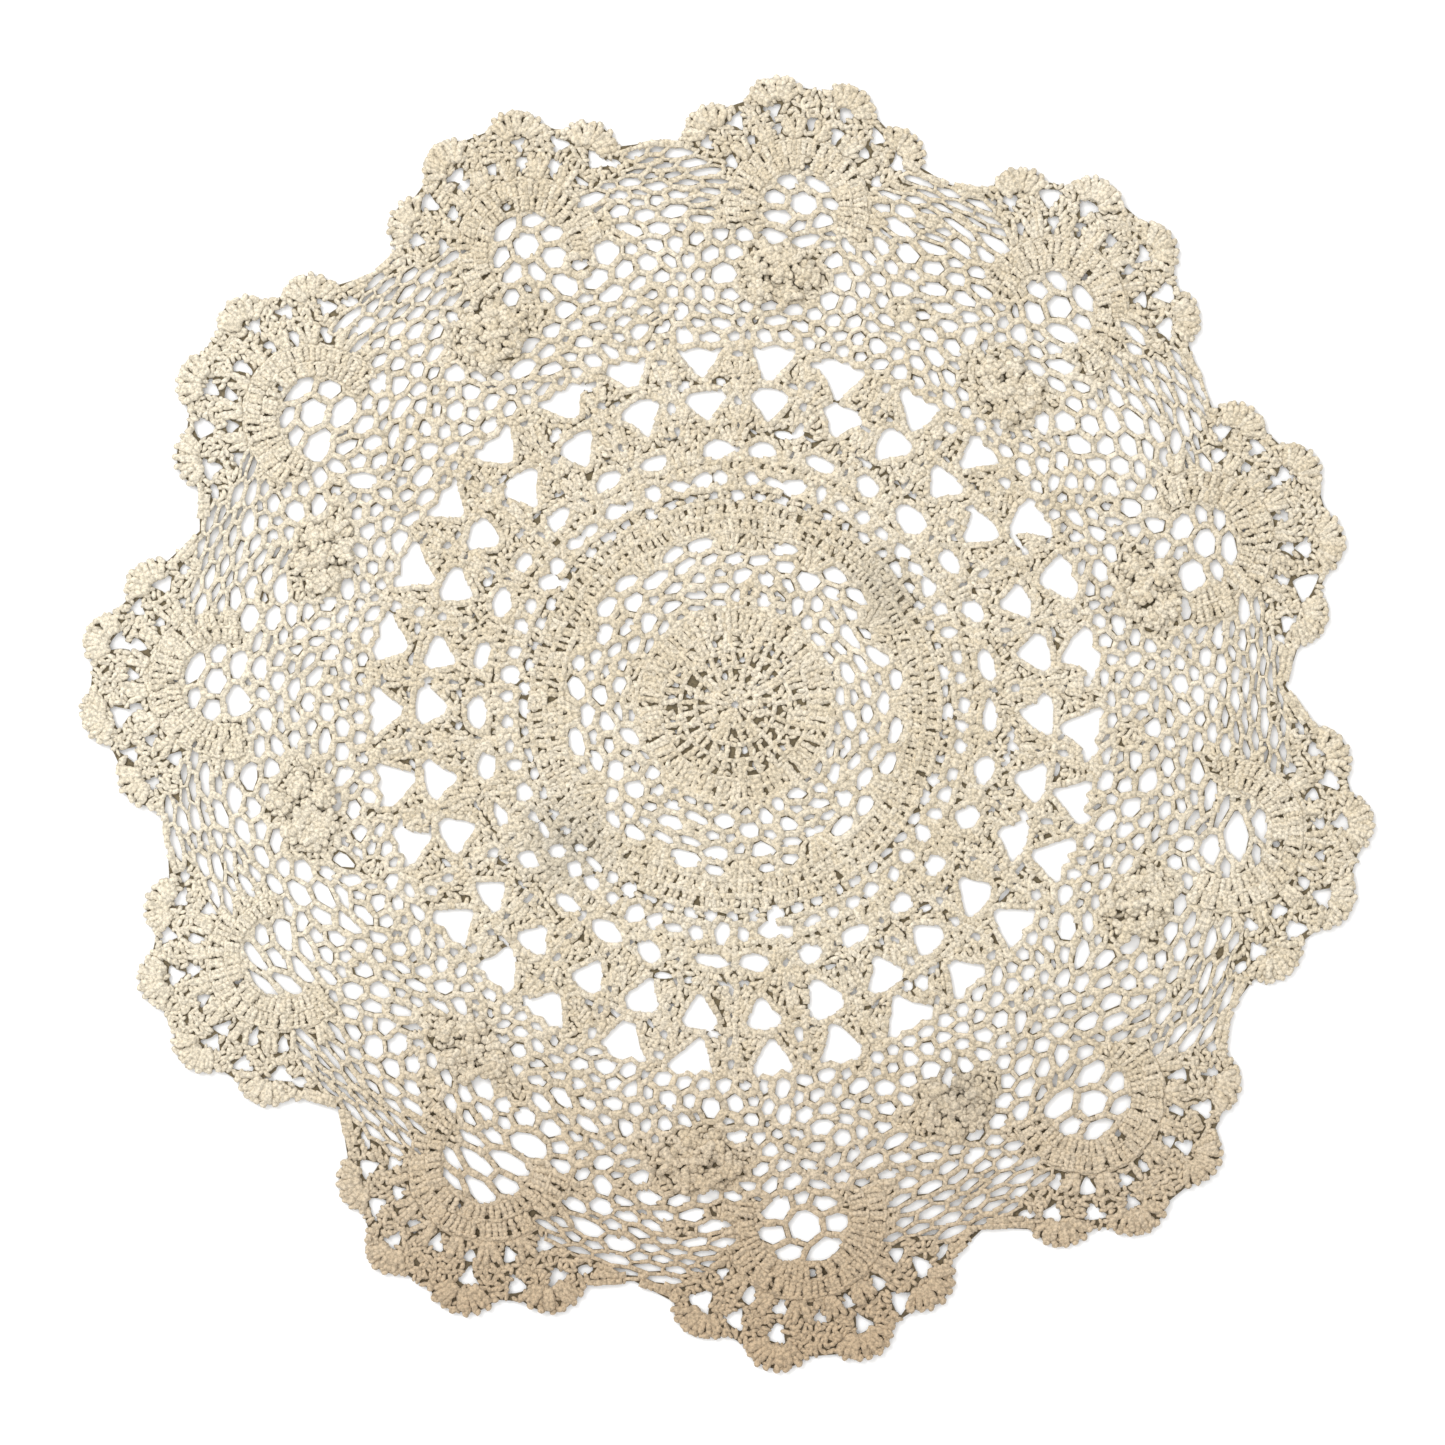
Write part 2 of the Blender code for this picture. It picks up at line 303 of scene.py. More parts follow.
@dataclass(frozen=True)
class ScallopFrame:
    """Turns places in a scallop of middling size into those of one of the eleven."""

    index: int
    half: float = 51.0 * MM
    rise: float = 41.0 * MM

    def axes(self) -> tuple[Array, Array]:
        """Unit vectors outwards along the axis and to the right of it."""
        outward = spoke(SCALLOPS[self.index].axis_deg)
        return outward, rightward(outward)

    def stretch(self) -> tuple[float, float, float]:
        """Compare this scallop with the middling one.

        Returns:
            How much wider it is on its left and right, and how much taller.
        """
        scallop = SCALLOPS[self.index]
        sides = [
            abs(notch.notch * math.sin(math.radians(notch.notch_deg - scallop.axis_deg))) / self.half
            for notch in (SCALLOPS[self.index - 1], scallop)
        ]
        return sides[0], sides[1], (scallop.tip - scallop.eye) / self.rise

    def place(self, side: Numbers, out: Numbers) -> Array:
        """Points of this scallop.

        Args:
            side: Distances to the right of its axis, looking out.
            out: Distances outwards from its eye.

        Returns:
            Points in the plane.
        """
        side, out = np.broadcast_arrays(np.asarray(side, float), np.asarray(out, float))
        outward, sideways = self.axes()
        left, right, tall = self.stretch()
        wide = np.where(side < 0.0, left, right)
        far = SCALLOPS[self.index].eye + out * tall
        return outward * far[..., None] + sideways * (side * wide)[..., None]

    def around(self, radius: Numbers, degrees: Numbers) -> Array:
        """Points at a distance and an angle from where the arch is centred."""
        ways = spoke(degrees)
        return self.place(radius * ways[..., 0], radius * ways[..., 1] - ARCH_DROP)

    def local(self, points: Array) -> tuple[Array, Array]:
        """Find plane points in the middling scallop.

        Args:
            points: Points in the plane.

        Returns:
            Their distances to the side and outwards.
        """
        outward, sideways = self.axes()
        left, right, tall = self.stretch()
        side = points @ sideways
        out = (points @ outward - SCALLOPS[self.index].eye) / tall
        return side / np.where(side < 0.0, left, right), out

    def from_arch(self, points: Array) -> tuple[Array, Array]:
        """Distances and unsigned angles of plane points from where the arch is centred."""
        side, out = self.local(points)
        return np.hypot(side, out + ARCH_DROP), np.abs(np.degrees(np.arctan2(side, out + ARCH_DROP)))


FRAMES = tuple(ScallopFrame(index) for index in range(len(SCALLOPS)))


@dataclass(frozen=True)
class Rose:
    """The middle of a raised heap of shells."""

    degrees: float
    radius: float
    half_wide: float = 16.0 * MM
    half_tall: float = 9.5 * MM

    def place(self, side: Array, out: Array) -> Array:
        """Points beside and beyond the rose's middle."""
        outward = spoke(self.degrees)
        return outward * (self.radius + out)[..., None] + rightward(outward) * side[..., None]

    def covers(self, points: Array) -> Array:
        """Say which points lie under the rose.

        Args:
            points: Points in the plane.

        Returns:
            True where the rose lies.
        """
        outward = spoke(self.degrees)
        side, out = points @ rightward(outward), points @ outward - self.radius
        return (side / self.half_wide) ** 2 + (out / self.half_tall) ** 2 < 1.0


ROSES = (
    #    degrees  radius
    Rose(5.8, 137.0 * MM),
    Rose(40.9, 132.3 * MM),
    Rose(74.8, 133.6 * MM),
    Rose(116.3, 141.4 * MM),
    Rose(151.4, 143.6 * MM),
    Rose(184.7, 144.3 * MM),
    Rose(217.4, 137.0 * MM),
    Rose(256.0, 139.2 * MM),
    Rose(290.0, 137.0 * MM),
    Rose(326.8, 139.2 * MM),
)


def oval(corners: int) -> Array:
    """Corners of a round gap, anticlockwise, as fractions of its width and height."""
    return 0.5 * spoke((np.arange(corners) + 0.5) * -360.0 / corners)


# Fractions of a gap's width and height, anticlockwise, pointing to the centre.
FAN_GAP = np.array([
    (-0.50, 0.20), (-0.30, -0.12), (-0.13, -0.46), (0.08, -0.50), (0.24, -0.20),
    (0.50, 0.22), (0.38, 0.45), (0.05, 0.52), (-0.34, 0.46),
])
WEDGE_GAP = np.array([
    (-0.50, 0.40), (-0.20, -0.12), (-0.05, -0.52), (0.10, -0.50),
    (0.22, -0.10), (0.50, 0.38), (0.0, 0.52),
])


def rounded(loop: Array) -> Array:
    """Cut each corner of a loop once, as thread does."""
    after = np.roll(loop, -1, axis=0)
    return np.stack([0.75 * loop + 0.25 * after, 0.25 * loop + 0.75 * after], 1).reshape(-1, 2)


def anticlockwise(loop: Array) -> Array:
    """Turn a loop the usual way round.

    Args:
        loop: The loop's points, either way round.

    Returns:
        Its points in anticlockwise order.
    """
    after = np.roll(loop, -1, axis=0)
    area = (loop[:, 0] * after[:, 1] - after[:, 0] * loop[:, 1]).sum()
    return loop if area > 0.0 else loop[::-1]


def drawn_in(loop: Array, by: float) -> Array:
    """Move every side of an anticlockwise, nearly convex loop inwards.

    Args:
        loop: The loop's corners.
        by: How far each side moves.

    Returns:
        The corners of what is left, none where nothing is.
    """
    kept = [tuple(point) for point in loop]
    for start, end in zip(loop, np.roll(loop, -1, axis=0)):
        along = end - start
        length = math.hypot(*along)
        if length < 1e-9:
            continue
        inward = (-along[1] / length, along[0] / length)
        depth = [(x - start[0]) * inward[0] + (y - start[1]) * inward[1] - by for x, y in kept]
        clipped = []
        for index, (x, y) in enumerate(kept):
            x0, y0 = kept[index - 1]
            here, before = depth[index], depth[index - 1]
            if (here > 0.0) != (before > 0.0):
                share = before / (before - here)
                clipped.append((x0 + (x - x0) * share, y0 + (y - y0) * share))
            if here > 0.0:
                clipped.append((x, y))
        kept = clipped
        if len(kept) < 3:
            return np.zeros((0, 2))
    return np.array(kept)


@dataclass
class Canvas:
    """A fine chart of the table that knows where the cloth is open or already worked."""

    pitch: float = 0.3 * MM
    half: float = 216.0 * MM
    open: Array = field(init=False)
    worked: Array = field(init=False)

    def __post_init__(self) -> None:
        """Start with nothing open and nothing worked."""
        side = int(round(2.0 * self.half / self.pitch))
        self.open, self.worked = np.zeros((2, side, side), dtype=bool)

    def cell(self, points: Array) -> tuple[Array, Array]:
        """Find the cells that points lie in.

        Args:
            points: Points in the plane.

        Returns:
            Each point's row and column.
        """
        grid = ((points + self.half) / self.pitch).astype(int)
        grid = np.clip(grid, 0, self.open.shape[0] - 1)
        return grid[..., 1], grid[..., 0]

    def cut(self, loop: Array) -> None:
        """Open the cells inside a loop.

        Args:
            loop: The loop's corners.
        """
        rows, columns = self.cell(np.stack([loop.min(0), loop.max(0)]))
        ys = (np.arange(rows[0], rows[1] + 1) + 0.5) * self.pitch - self.half
        xs = (np.arange(columns[0], columns[1] + 1) + 0.5) * self.pitch - self.half
        x, y = np.meshgrid(xs, ys)
        inside = np.zeros(x.shape, dtype=bool)
        for (x0, y0), (x1, y1) in zip(loop, np.roll(loop, -1, axis=0)):
            if y0 != y1:
                inside ^= ((y0 > y) != (y1 > y)) & (x < (x1 - x0) * (y - y0) / (y1 - y0) + x0)
        self.open[rows[0]:rows[1] + 1, columns[0]:columns[1] + 1] |= inside

    def trim(self, edge: Array) -> None:
        """Open everything beyond the doily's edge.

        Args:
            edge: The edge's points.
        """
        line = (np.arange(self.open.shape[0]) + 0.5) * self.pitch - self.half
        spots = np.stack(np.meshgrid(line, line), -1)
        angles = heading(edge) % 360.0
        order = np.argsort(angles)
        far = np.hypot(*edge[order].T)
        reach = np.interp(heading(spots) % 360.0, angles[order], far, period=360.0)
        self.open |= np.hypot(spots[..., 0], spots[..., 1]) > reach

    def open_near(self, spots: Array, reach: float) -> Array:
        """Count, for each stitch's row of spots, the open places on them and at a reach round them."""
        ways = np.concatenate([np.zeros((1, 2)), spoke(np.arange(0.0, 360.0, 60.0))]) * reach
        return self.open[self.cell(spots[:, :, None] + ways)].sum((1, 2))

    def work(self, points: Array) -> None:
        """Mark the cells round each point as worked.

        Args:
            points: Points in the plane.
        """
        rows, columns = self.cell(points)
        last = self.open.shape[0] - 1
        for down in (-1, 0, 1):
            for across in (-1, 0, 1):
                self.worked[np.clip(rows + down, 0, last), np.clip(columns + across, 0, last)] = True


@dataclass
class LoopNet:
    """A net of chain loops, one round each of many seeds, drawn as a pattern and laid on the cloth."""

    on_cloth: Callable[[Array], Array]
    least_gap: float = 0.6 * MM
    seeds: list[Array] = field(default_factory=list)
    is_open: list[bool] = field(default_factory=list)
    half_strand: list[float] = field(default_factory=list)
    gaps: list[Array] = field(default_factory=list)
    strands: Array = field(init=False)
    strand_wide: Array = field(init=False)
    knots: Array = field(init=False)
    knot_wide: Array = field(init=False)

    def add(self, points: Array, is_open: Array | bool, half_strand: Numbers) -> None:
        """Scatter seeds.

        Args:
            points: Where they lie in the pattern.
            is_open: Which of them are gaps of the net.
            half_strand: Half the width of the thread round each.
        """
        self.seeds.extend(points)
        self.is_open.extend(np.broadcast_to(is_open, len(points)).tolist())
        self.half_strand.extend(np.broadcast_to(half_strand, len(points)).tolist())

    def grow(self) -> None:
        """Work out the gap round each open seed, and the strands and knots between them."""
        filled = delaunay_2d_cdt([Vector(seed) for seed in self.seeds], [], [], 0, SAME_POINT, True)
        seeds = np.array([point[:] for point in filled[0]])
        source = np.array([origins[0] for origins in filled[3]])
        triangles = np.array(filled[2])
        drawn = seeds[triangles].mean(1)
        middles = self.on_cloth(drawn)
        touching: dict[int, list[int]] = {}
        sides: dict[tuple[int, int], list[int]] = {}
        for number, triangle in enumerate(triangles.tolist()):
            for corner in range(3):
                here, after = triangle[corner], triangle[(corner + 1) % 3]
                touching.setdefault(here, []).append(number)
                sides.setdefault((min(here, after), max(here, after)), []).append(number)
        is_open = np.array(self.is_open)[source]
        half = np.array(self.half_strand)[source]
        for seed in np.flatnonzero(is_open).tolist():
            ring = np.array(touching[seed])
            gap = drawn_in(middles[ring[in_turn(drawn[ring], seeds[seed])]], half[seed])
            if len(gap) >= 3 and np.ptp(gap, axis=0).min() > self.least_gap:
                self.gaps.append(gap)
        kept = [ends for ends, both in sides.items() if len(both) == 2 and is_open[list(ends)].any()]
        self.strands = middles[np.array([sides[ends] for ends in kept])]
        self.strand_wide = 2.0 * half[np.array(kept)].mean(1)
        beside_gap = is_open[triangles].any(1)
        self.knots = middles[beside_gap]
        self.knot_wide = 2.0 * half[triangles[beside_gap]].mean(1)


@dataclass
class Work:
    """What the doily's parts share while it is laid out."""

    rng: Random
    canvas: Canvas = field(default_factory=Canvas)
    nets: dict[str, LoopNet] = field(default_factory=dict)
    cuts: list[Array] = field(default_factory=list)
    hollows: list[Array] = field(default_factory=list)
    rims: list[Array] = field(default_factory=list)

    def cut(self, loops: list[Array], rimmed: bool = False, hollow_share: float = 0.0) -> None:
        """Open gaps in the cloth.

        Args:
            loops: Corners of each gap.
            rimmed: Whether a rim of chain is worked round it.
            hollow_share: How many of them are left uncut, showing the ground's painted shade between the
                stitches.
        """
        for loop in loops:
            ordered = loop[in_turn(loop, loop.mean(0))]
            hollow = hollow_share > 0.0 and self.rng.random() < hollow_share
            (self.hollows if hollow else self.cuts).append(rounded(ordered))
            if rimmed:
                self.rims.append(ordered)

    def chart(self, edge: Array) -> None:
        """Work out the nets, and enter every gap in the canvas.

        Args:
            edge: The doily's edge.
        """
        for net in self.nets.values():
            net.grow()
            self.cuts.extend(net.gaps)
        for loop in self.cuts + self.hollows:
            self.canvas.cut(loop)
        self.canvas.trim(edge)


def joined_mesh(name: str, points: Array, faces: Array) -> bpy.types.Mesh:
    """Make one smooth mesh of joined copies.

    Args:
        name: The mesh's name.
        points: Every copy's points.
        faces: Every copy's triangles.

    Returns:
        The mesh.
    """
    mesh = bpy.data.meshes.new(name)
    mesh.vertices.add(len(points))
    mesh.vertices.foreach_set("co", points.ravel())
    mesh.loops.add(faces.size)
    mesh.loops.foreach_set("vertex_index", faces.ravel())
    mesh.polygons.add(len(faces))
    mesh.polygons.foreach_set("loop_start", np.arange(0, faces.size, 3))
    mesh.update(calc_edges=True)
    mesh.shade_smooth()
    return mesh


@dataclass(frozen=True)
class HandWork:
    """How much stitches made by one hand differ from each other."""

    turn_deg: float = 6.0
    left_turned: float = 0.12
    long: float = 0.05
    wide: float = 0.07
    high: float = 0.08
    least_high: float = 0.8
    most_high: float = 1.3
    shift: float = 0.12 * MM
    lift: float = 0.1 * MM
    net_link: float = 2.9 * MM
    net_wide: float = 1.12
    net_wide_uneven: float = 0.12
    net_knot_wide: float = 1.08
    net_knot_rise: float = 0.02 * MM


HAND = HandWork()


@dataclass
class StitchRows:
    """The stitches laid for one piece, kept as columns of numbers until they are joined."""

    name: str
    work: Work
    rows: dict[Stitch, list[Array]] = field(default_factory=dict)
    # Shares of a stitch's length where the cloth is looked at, and how far to each side.
    post_spots: tuple[float, ...] = (0.12, 0.35, 0.6, 0.88)
    post_reach: float = 0.65 * MM
    link_spots: tuple[float, ...] = (-0.35, 0.0, 0.35)
    link_reach: float = 0.5 * MM
    link_over_gaps: int = 4
    half_track: float = 0.5 * MM

    def posts(
        self,
        bases: Array,
        tips: Array,
        stitch: Stitch = Stitch.POST,
        wide: Numbers = 1.0,
        rise: Numbers = 0.0,
        over_gaps: int = 3,
    ) -> None:
        """Lay tall stitches, leaving out those that would cross a gap.

        Args:
            bases: Where each starts.
            tips: Where each ends.
            stitch: Which stitch.
            wide: Widths against the drawn one.
            rise: Heights above the cloth's middle layer.
            over_gaps: How many of the 28 places on and beside a post may lie over a gap.
        """
        bases, tips = bases.reshape(-1, 2), tips.reshape(-1, 2)
        along = tips - bases
        spots = bases[:, None] + along[:, None] * np.array(self.post_spots)[None, :, None]
        kept = self.work.canvas.open_near(spots, self.post_reach) <= over_gaps
        self.keep(stitch, bases, heading(along), np.hypot(*along.T), wide, rise, spots, kept)

    def chain(
        self,
        path: Array,
        closed: bool = False,
        wide: float = 1.0,
        rise: float = 0.0,
    ) -> None:
        """Lay chain links along a path, leaving out those over a gap.

        Args:
            path: The path's points.
            closed: Whether it comes back to its start.
            wide: Width against the drawn one.
            rise: Height above the cloth's middle layer.
        """
        if closed:
            path = np.concatenate([path, path[:1]])
        steps = np.hypot(*np.diff(path, axis=0).T)
        run = np.concatenate([[0.0], np.cumsum(steps)])
        links = max(1, int(round(run[-1] / DRAWN_LENGTH[Stitch.LINK])))
        edges = np.linspace(0.0, run[-1], links + 1)
        nodes = np.stack([np.interp(edges, run, path[:, axis]) for axis in (0, 1)], -1)
        self.links(np.stack([nodes[:-1], nodes[1:]], 1), wide, rise)

    def links(self, ends: Array, wide: Numbers = 1.0, rise: float = 0.0, strict: bool = True) -> None:
        """Lay one link between each pair of ends.

        Args:
            ends: The two ends of each.
            wide: Widths against the drawn one.
            rise: Height above the cloth's middle layer.
            strict: Whether to leave out those over a gap.
        """
        along = ends[:, 1] - ends[:, 0]
        middles = ends.mean(1)
        spots = middles[:, None] + along[:, None] * np.array(self.link_spots)[None, :, None]
        kept = np.ones(len(ends), bool)
        if strict:
            kept = self.work.canvas.open_near(spots, self.link_reach) <= self.link_over_gaps
        self.keep(Stitch.LINK, middles, heading(along), np.hypot(*along.T), wide, rise, spots, kept)

    def knots(
        self, points: Array, size: Numbers = 1.0, rise: float = 0.0, stitch: Stitch = Stitch.KNOT
    ) -> None:
        """Lay knots on points, whatever is there, each turned its own way.

        Args:
            points: Where each lies.
            size: Sizes against the drawn one.
            rise: Height above the cloth's middle layer.
            stitch: Which stitch.
        """
        kept = np.ones(len(points), bool)
        turned = self.work.rng.uniform(0.0, 180.0, len(points))
        long = np.full(len(points), size * DRAWN_LENGTH[stitch])
        self.keep(stitch, points, turned, long, size, rise, points[:, None], kept)

    def network(self, net: LoopNet) -> None:
        """Lay a net: links along its strands, and a knot where they meet.

        Args:
            net: The net, grown.
        """
        strands = net.strands
        lengths = np.hypot(*(strands[:, 1] - strands[:, 0]).T)
        counts = np.maximum(1, np.round(lengths / HAND.net_link)).astype(int)
        for count in np.unique(counts):
            some = strands[counts == count]
            cuts = np.linspace(0.0, 1.0, count + 1)
            nodes = some[:, 0, None] + (some[:, 1] - some[:, 0])[:, None] * cuts[None, :, None]
            ends = np.stack([nodes[:, :-1], nodes[:, 1:]], 2).reshape(-1, 2, 2)
            wide = np.repeat(net.strand_wide[counts == count], count) / LINK_WIDE
            uneven = self.work.rng.normal(HAND.net_wide, HAND.net_wide_uneven, len(ends))
            self.links(ends, wide * uneven, strict=False)
        self.knots(net.knots, net.knot_wide / KNOT_WIDE * HAND.net_knot_wide, HAND.net_knot_rise)

    def keep(
        self,
        stitch: Stitch,
        points: Array,
        headings: Array,
        long: Array,
        wide: Numbers,
        rise: Numbers,
        spots: Array,
        kept: Array,
    ) -> None:
        """Write down stitches and mark where they lie.

        Args:
            stitch: Which stitch.
            points: Where each is placed.
            headings: The angles that they point in.
            long: Their lengths.
            wide: Their widths against the drawn one.
            rise: Their heights above the cloth's middle layer.
            spots: Points that each of them covers.
            kept: Which of them to lay.
        """
        columns = [np.broadcast_to(value, len(points)) for value in (headings, long, wide, rise)]
        self.rows.setdefault(stitch, []).append(np.column_stack([points, *columns])[kept])
        across = rightward(spoke(headings[kept]))[:, None]
        for side in (-self.half_track, 0.0, self.half_track):
            self.work.canvas.work(spots[kept] + across * side)

    def join(self, shapes: dict[Stitch, StitchShape]) -> bpy.types.Object:
        """Join every laid stitch into one mesh.

        Args:
            shapes: The stitches' small meshes.

        Returns:
            The finished piece, in the scene.
        """
        rng = self.work.rng
        points, faces, tones, depths, start = [], [], [], [], 0
        for stitch, batches in self.rows.items():
            rows = np.concatenate(batches)
            shape = shapes[stitch]
            count = len(rows)
            ahead = spoke(rows[:, 2] + rng.normal(0.0, HAND.turn_deg, count))
            aside = rightward(ahead)
            hand = np.where(rng.random(count) < HAND.left_turned, -1.0, 1.0)
            long = rows[:, 3] / DRAWN_LENGTH[stitch] * rng.normal(1.0, HAND.long, count)
            wide = rows[:, 4] * rng.normal(1.0, HAND.wide, count) * hand
            girth = np.clip(rows[:, 4], HAND.least_high, HAND.most_high)
            high = rng.normal(1.0, HAND.high, count) * girth
            shift = rng.normal(0.0, HAND.shift, (count, 2))
            local = shape.points[None]
            flat = (
                (rows[:, :2] + shift)[:, None]
                + aside[:, None] * (local[..., 0] * wide[:, None])[..., None]
                + ahead[:, None] * (local[..., 1] * long[:, None])[..., None]
            )
            lift = rows[:, 5] + rng.normal(0.0, HAND.lift, count)
            height = MID_HEIGHT + LIE.wave(flat) + local[..., 2] * high[:, None] + lift[:, None]
            points.append(np.concatenate([flat, height[..., None]], -1).reshape(-1, 3))
            turned = np.where(hand[:, None, None] < 0.0, shape.faces[None, :, ::-1], shape.faces[None])
            steps = start + np.arange(count) * len(shape.points)
            faces.append((turned + steps[:, None, None]).reshape(-1, 3))
            tones.append(np.repeat(rng.uniform(0.0, 1.0, count), len(shape.points)))
            depths.append(np.tile(shape.points[:, 2] / shape.points[:, 2].max(), count))
            start += count * len(shape.points)
        mesh = joined_mesh(self.name, np.concatenate(points), np.concatenate(faces))
        for name, values in (("tone", tones), ("depth", depths)):
            layer = mesh.attributes.new(name, "FLOAT", "POINT")
            layer.data.foreach_set("value", np.concatenate(values).astype(np.float32))
        piece = bpy.data.objects.new(self.name, mesh)
        bpy.context.scene.collection.objects.link(piece)
        return piece


class ClothPart(ABC):
    """A part of the doily, which first opens its gaps and later lays its stitches."""

    name: str

    def mark(self, work: Work) -> None:
        """Open the part's gaps, where it has any."""

    @abstractmethod
    def lay(self, rows: StitchRows) -> None:
        """Lay the part's stitches in its rows."""

    def finish(self, work: Work, shapes: dict[Stitch, StitchShape]) -> bpy.types.Object:
        """Lay the part's stitches and join them.

        Args:
            work: The laid-out work.
            shapes: The stitches' small meshes.

        Returns:
            The finished piece, in the scene.
        """
        rows = StitchRows(self.name, work)
        self.lay(rows)
        return rows.join(shapes)


@dataclass(frozen=True)
class GapRow:
    """A round of like gaps, each a little uneven."""

    radius: float
    count: int
    first_deg: float
    across: float
    out: float
    corners: Array
    uneven: float = 0.12
    # Shares of a gap's own size that it slips along the round and across it.
    slip: float = 0.09
    drift: float = 0.05
    # How much its corners shift and how much it tilts, against its unevenness.
    dent: float = 0.4
    tilt: float = 1.2

    def loops(self, rng: Random) -> list[Array]:
        """Corner loops of the round's gaps.

        Args:
            rng: Source of the unevenness.

        Returns:
            One array of corners for each gap.
        """
        loops = []
        for step in range(self.count):
            middle = self.first_deg + step * 360.0 / self.count
            middle += math.degrees(rng.normal(0.0, self.slip * self.across) / self.radius)
            size = rng.normal(1.0, self.uneven, 2)
            corners = self.corners * size + rng.normal(0.0, self.dent * self.uneven, self.corners.shape)
            tilt = rng.normal(0.0, self.tilt * self.uneven)
            wide = (corners[:, 0] + tilt * corners[:, 1]) * self.across
            high = (corners[:, 1] - tilt * corners[:, 0]) * self.out
            radius = self.radius + rng.normal(0.0, self.drift * self.out)
            loops.append(LIE.place(radius + high, middle + np.degrees(wide / self.radius)))
        return loops


@dataclass(frozen=True)
class PostRing:
    """A round of tall stitches."""

    radius: float
    length: float
    count: int
    stitch: Stitch = Stitch.POST
    first_deg: float = 0.0
    wide: float = 1.0
    uneven: float = 0.16
    slant: float = 0.6 * MM

    def lay(self, rows: StitchRows) -> None:
        """Lay the round, a little unevenly spaced.

        Args:
            rows: Where the stitches are written.
        """
        rng = rows.work.rng
        uneven = rng.normal(0.0, self.uneven, self.count)
        degrees = self.first_deg + (np.arange(self.count) + uneven) * 360.0 / self.count
        slant = rng.normal(0.0, self.slant, self.count) / (self.radius + self.length)
        bases = LIE.place(self.radius, degrees)
        tips = LIE.place(self.radius + self.length, degrees + np.degrees(slant))
        rows.posts(bases, tips, self.stitch, self.wide)


@dataclass(frozen=True)
class RidgeRing:
    """A round of chain that shows between two rounds of posts."""

    radius: float
    wide: float = 1.0
    rise: float = 0.0
    step_deg: float = 2.0
    uneven: float = 0.15 * MM

    def lay(self, rows: StitchRows) -> None:
        """Lay the round, a little uneven.

        Args:
            rows: Where the stitches are written.
        """
        degrees = np.arange(0.0, 360.0, self.step_deg)
        radius = self.radius + rows.work.rng.normal(0.0, self.uneven, len(degrees))
        rows.chain(LIE.place(radius, degrees), True, self.wide, self.rise)


@dataclass(frozen=True)
class RingedPart(ClothPart):
    """A part made of rounds of posts with ridges of chain between them."""

    rings: tuple[PostRing, ...] = ()
    ridges: tuple[float, ...] = ()
    ridge_wide: float = 1.0
    ridge_rise: float = 0.0

    def lay(self, rows: StitchRows) -> None:
        """Lay the ridges, then the rounds of posts.

        Args:
            rows: Where the stitches are written.
        """
        for radius in self.ridges:
            RidgeRing(radius, self.ridge_wide, self.ridge_rise).lay(rows)
        for ring in self.rings:
            ring.lay(rows)


@dataclass(frozen=True)
class Medallion(RingedPart):
    """The close round middle: rings of posts with slots between, and a band of posts about it."""

    name: str = "medallion_stitches"
    centre_hole: float = 2.9 * MM
    slots: tuple[GapRow, ...] = (
        #      radius     count first across    out       corners
        GapRow(9.4 * MM, 16, 4.0, 1.5 * MM, 2.5 * MM, oval(6), 0.2),
        GapRow(14.6 * MM, 25, 9.0, 1.6 * MM, 2.5 * MM, oval(6), 0.2),
        GapRow(20.2 * MM, 34, 3.0, 1.7 * MM, 2.3 * MM, oval(6), 0.2),
    )
    # Half the slots are left uncut: the ground's dark colour in them is painted shade.
    hollow_share: float = 0.5
    rings: tuple[PostRing, ...] = (
        #        radius     length    count  stitch        first  wide
        PostRing(2.2 * MM, 4.6 * MM, 14),
        PostRing(6.6 * MM, 5.4 * MM, 36, Stitch.POST, 4.0, 1.0),
        PostRing(12.6 * MM, 4.4 * MM, 46, Stitch.POST, 9.0, 1.05),
        PostRing(17.7 * MM, 5.4 * MM, 58, Stitch.POST, 3.0, 1.1),
        PostRing(23.8 * MM, 6.8 * MM, 92, Stitch.CAPPED_POST, 0.0, 1.1),
    )
    ridges: tuple[float, ...] = (1.9 * MM, 6.6 * MM, 12.4 * MM, 17.4 * MM, 23.4 * MM, 31.0 * MM)
    ridge_wide: float = 0.75
    ridge_rise: float = 0.05 * MM

    def mark(self, work: Work) -> None:
        """Open the centre hole and the rounds of slots.

        Args:
            work: The work being laid out.
        """
        work.cut([0.5 * self.centre_hole * spoke(np.arange(0.0, 360.0, 45.0))])
        for row in self.slots:
            work.cut(row.loops(work.rng), hollow_share=self.hollow_share)


@dataclass(frozen=True)
class NetRound:
    """A round of the net's loops; every shell_each-th is a shell, worked close."""

    radius: float
    count: int
    first_deg: float
    shell_each: int = 0


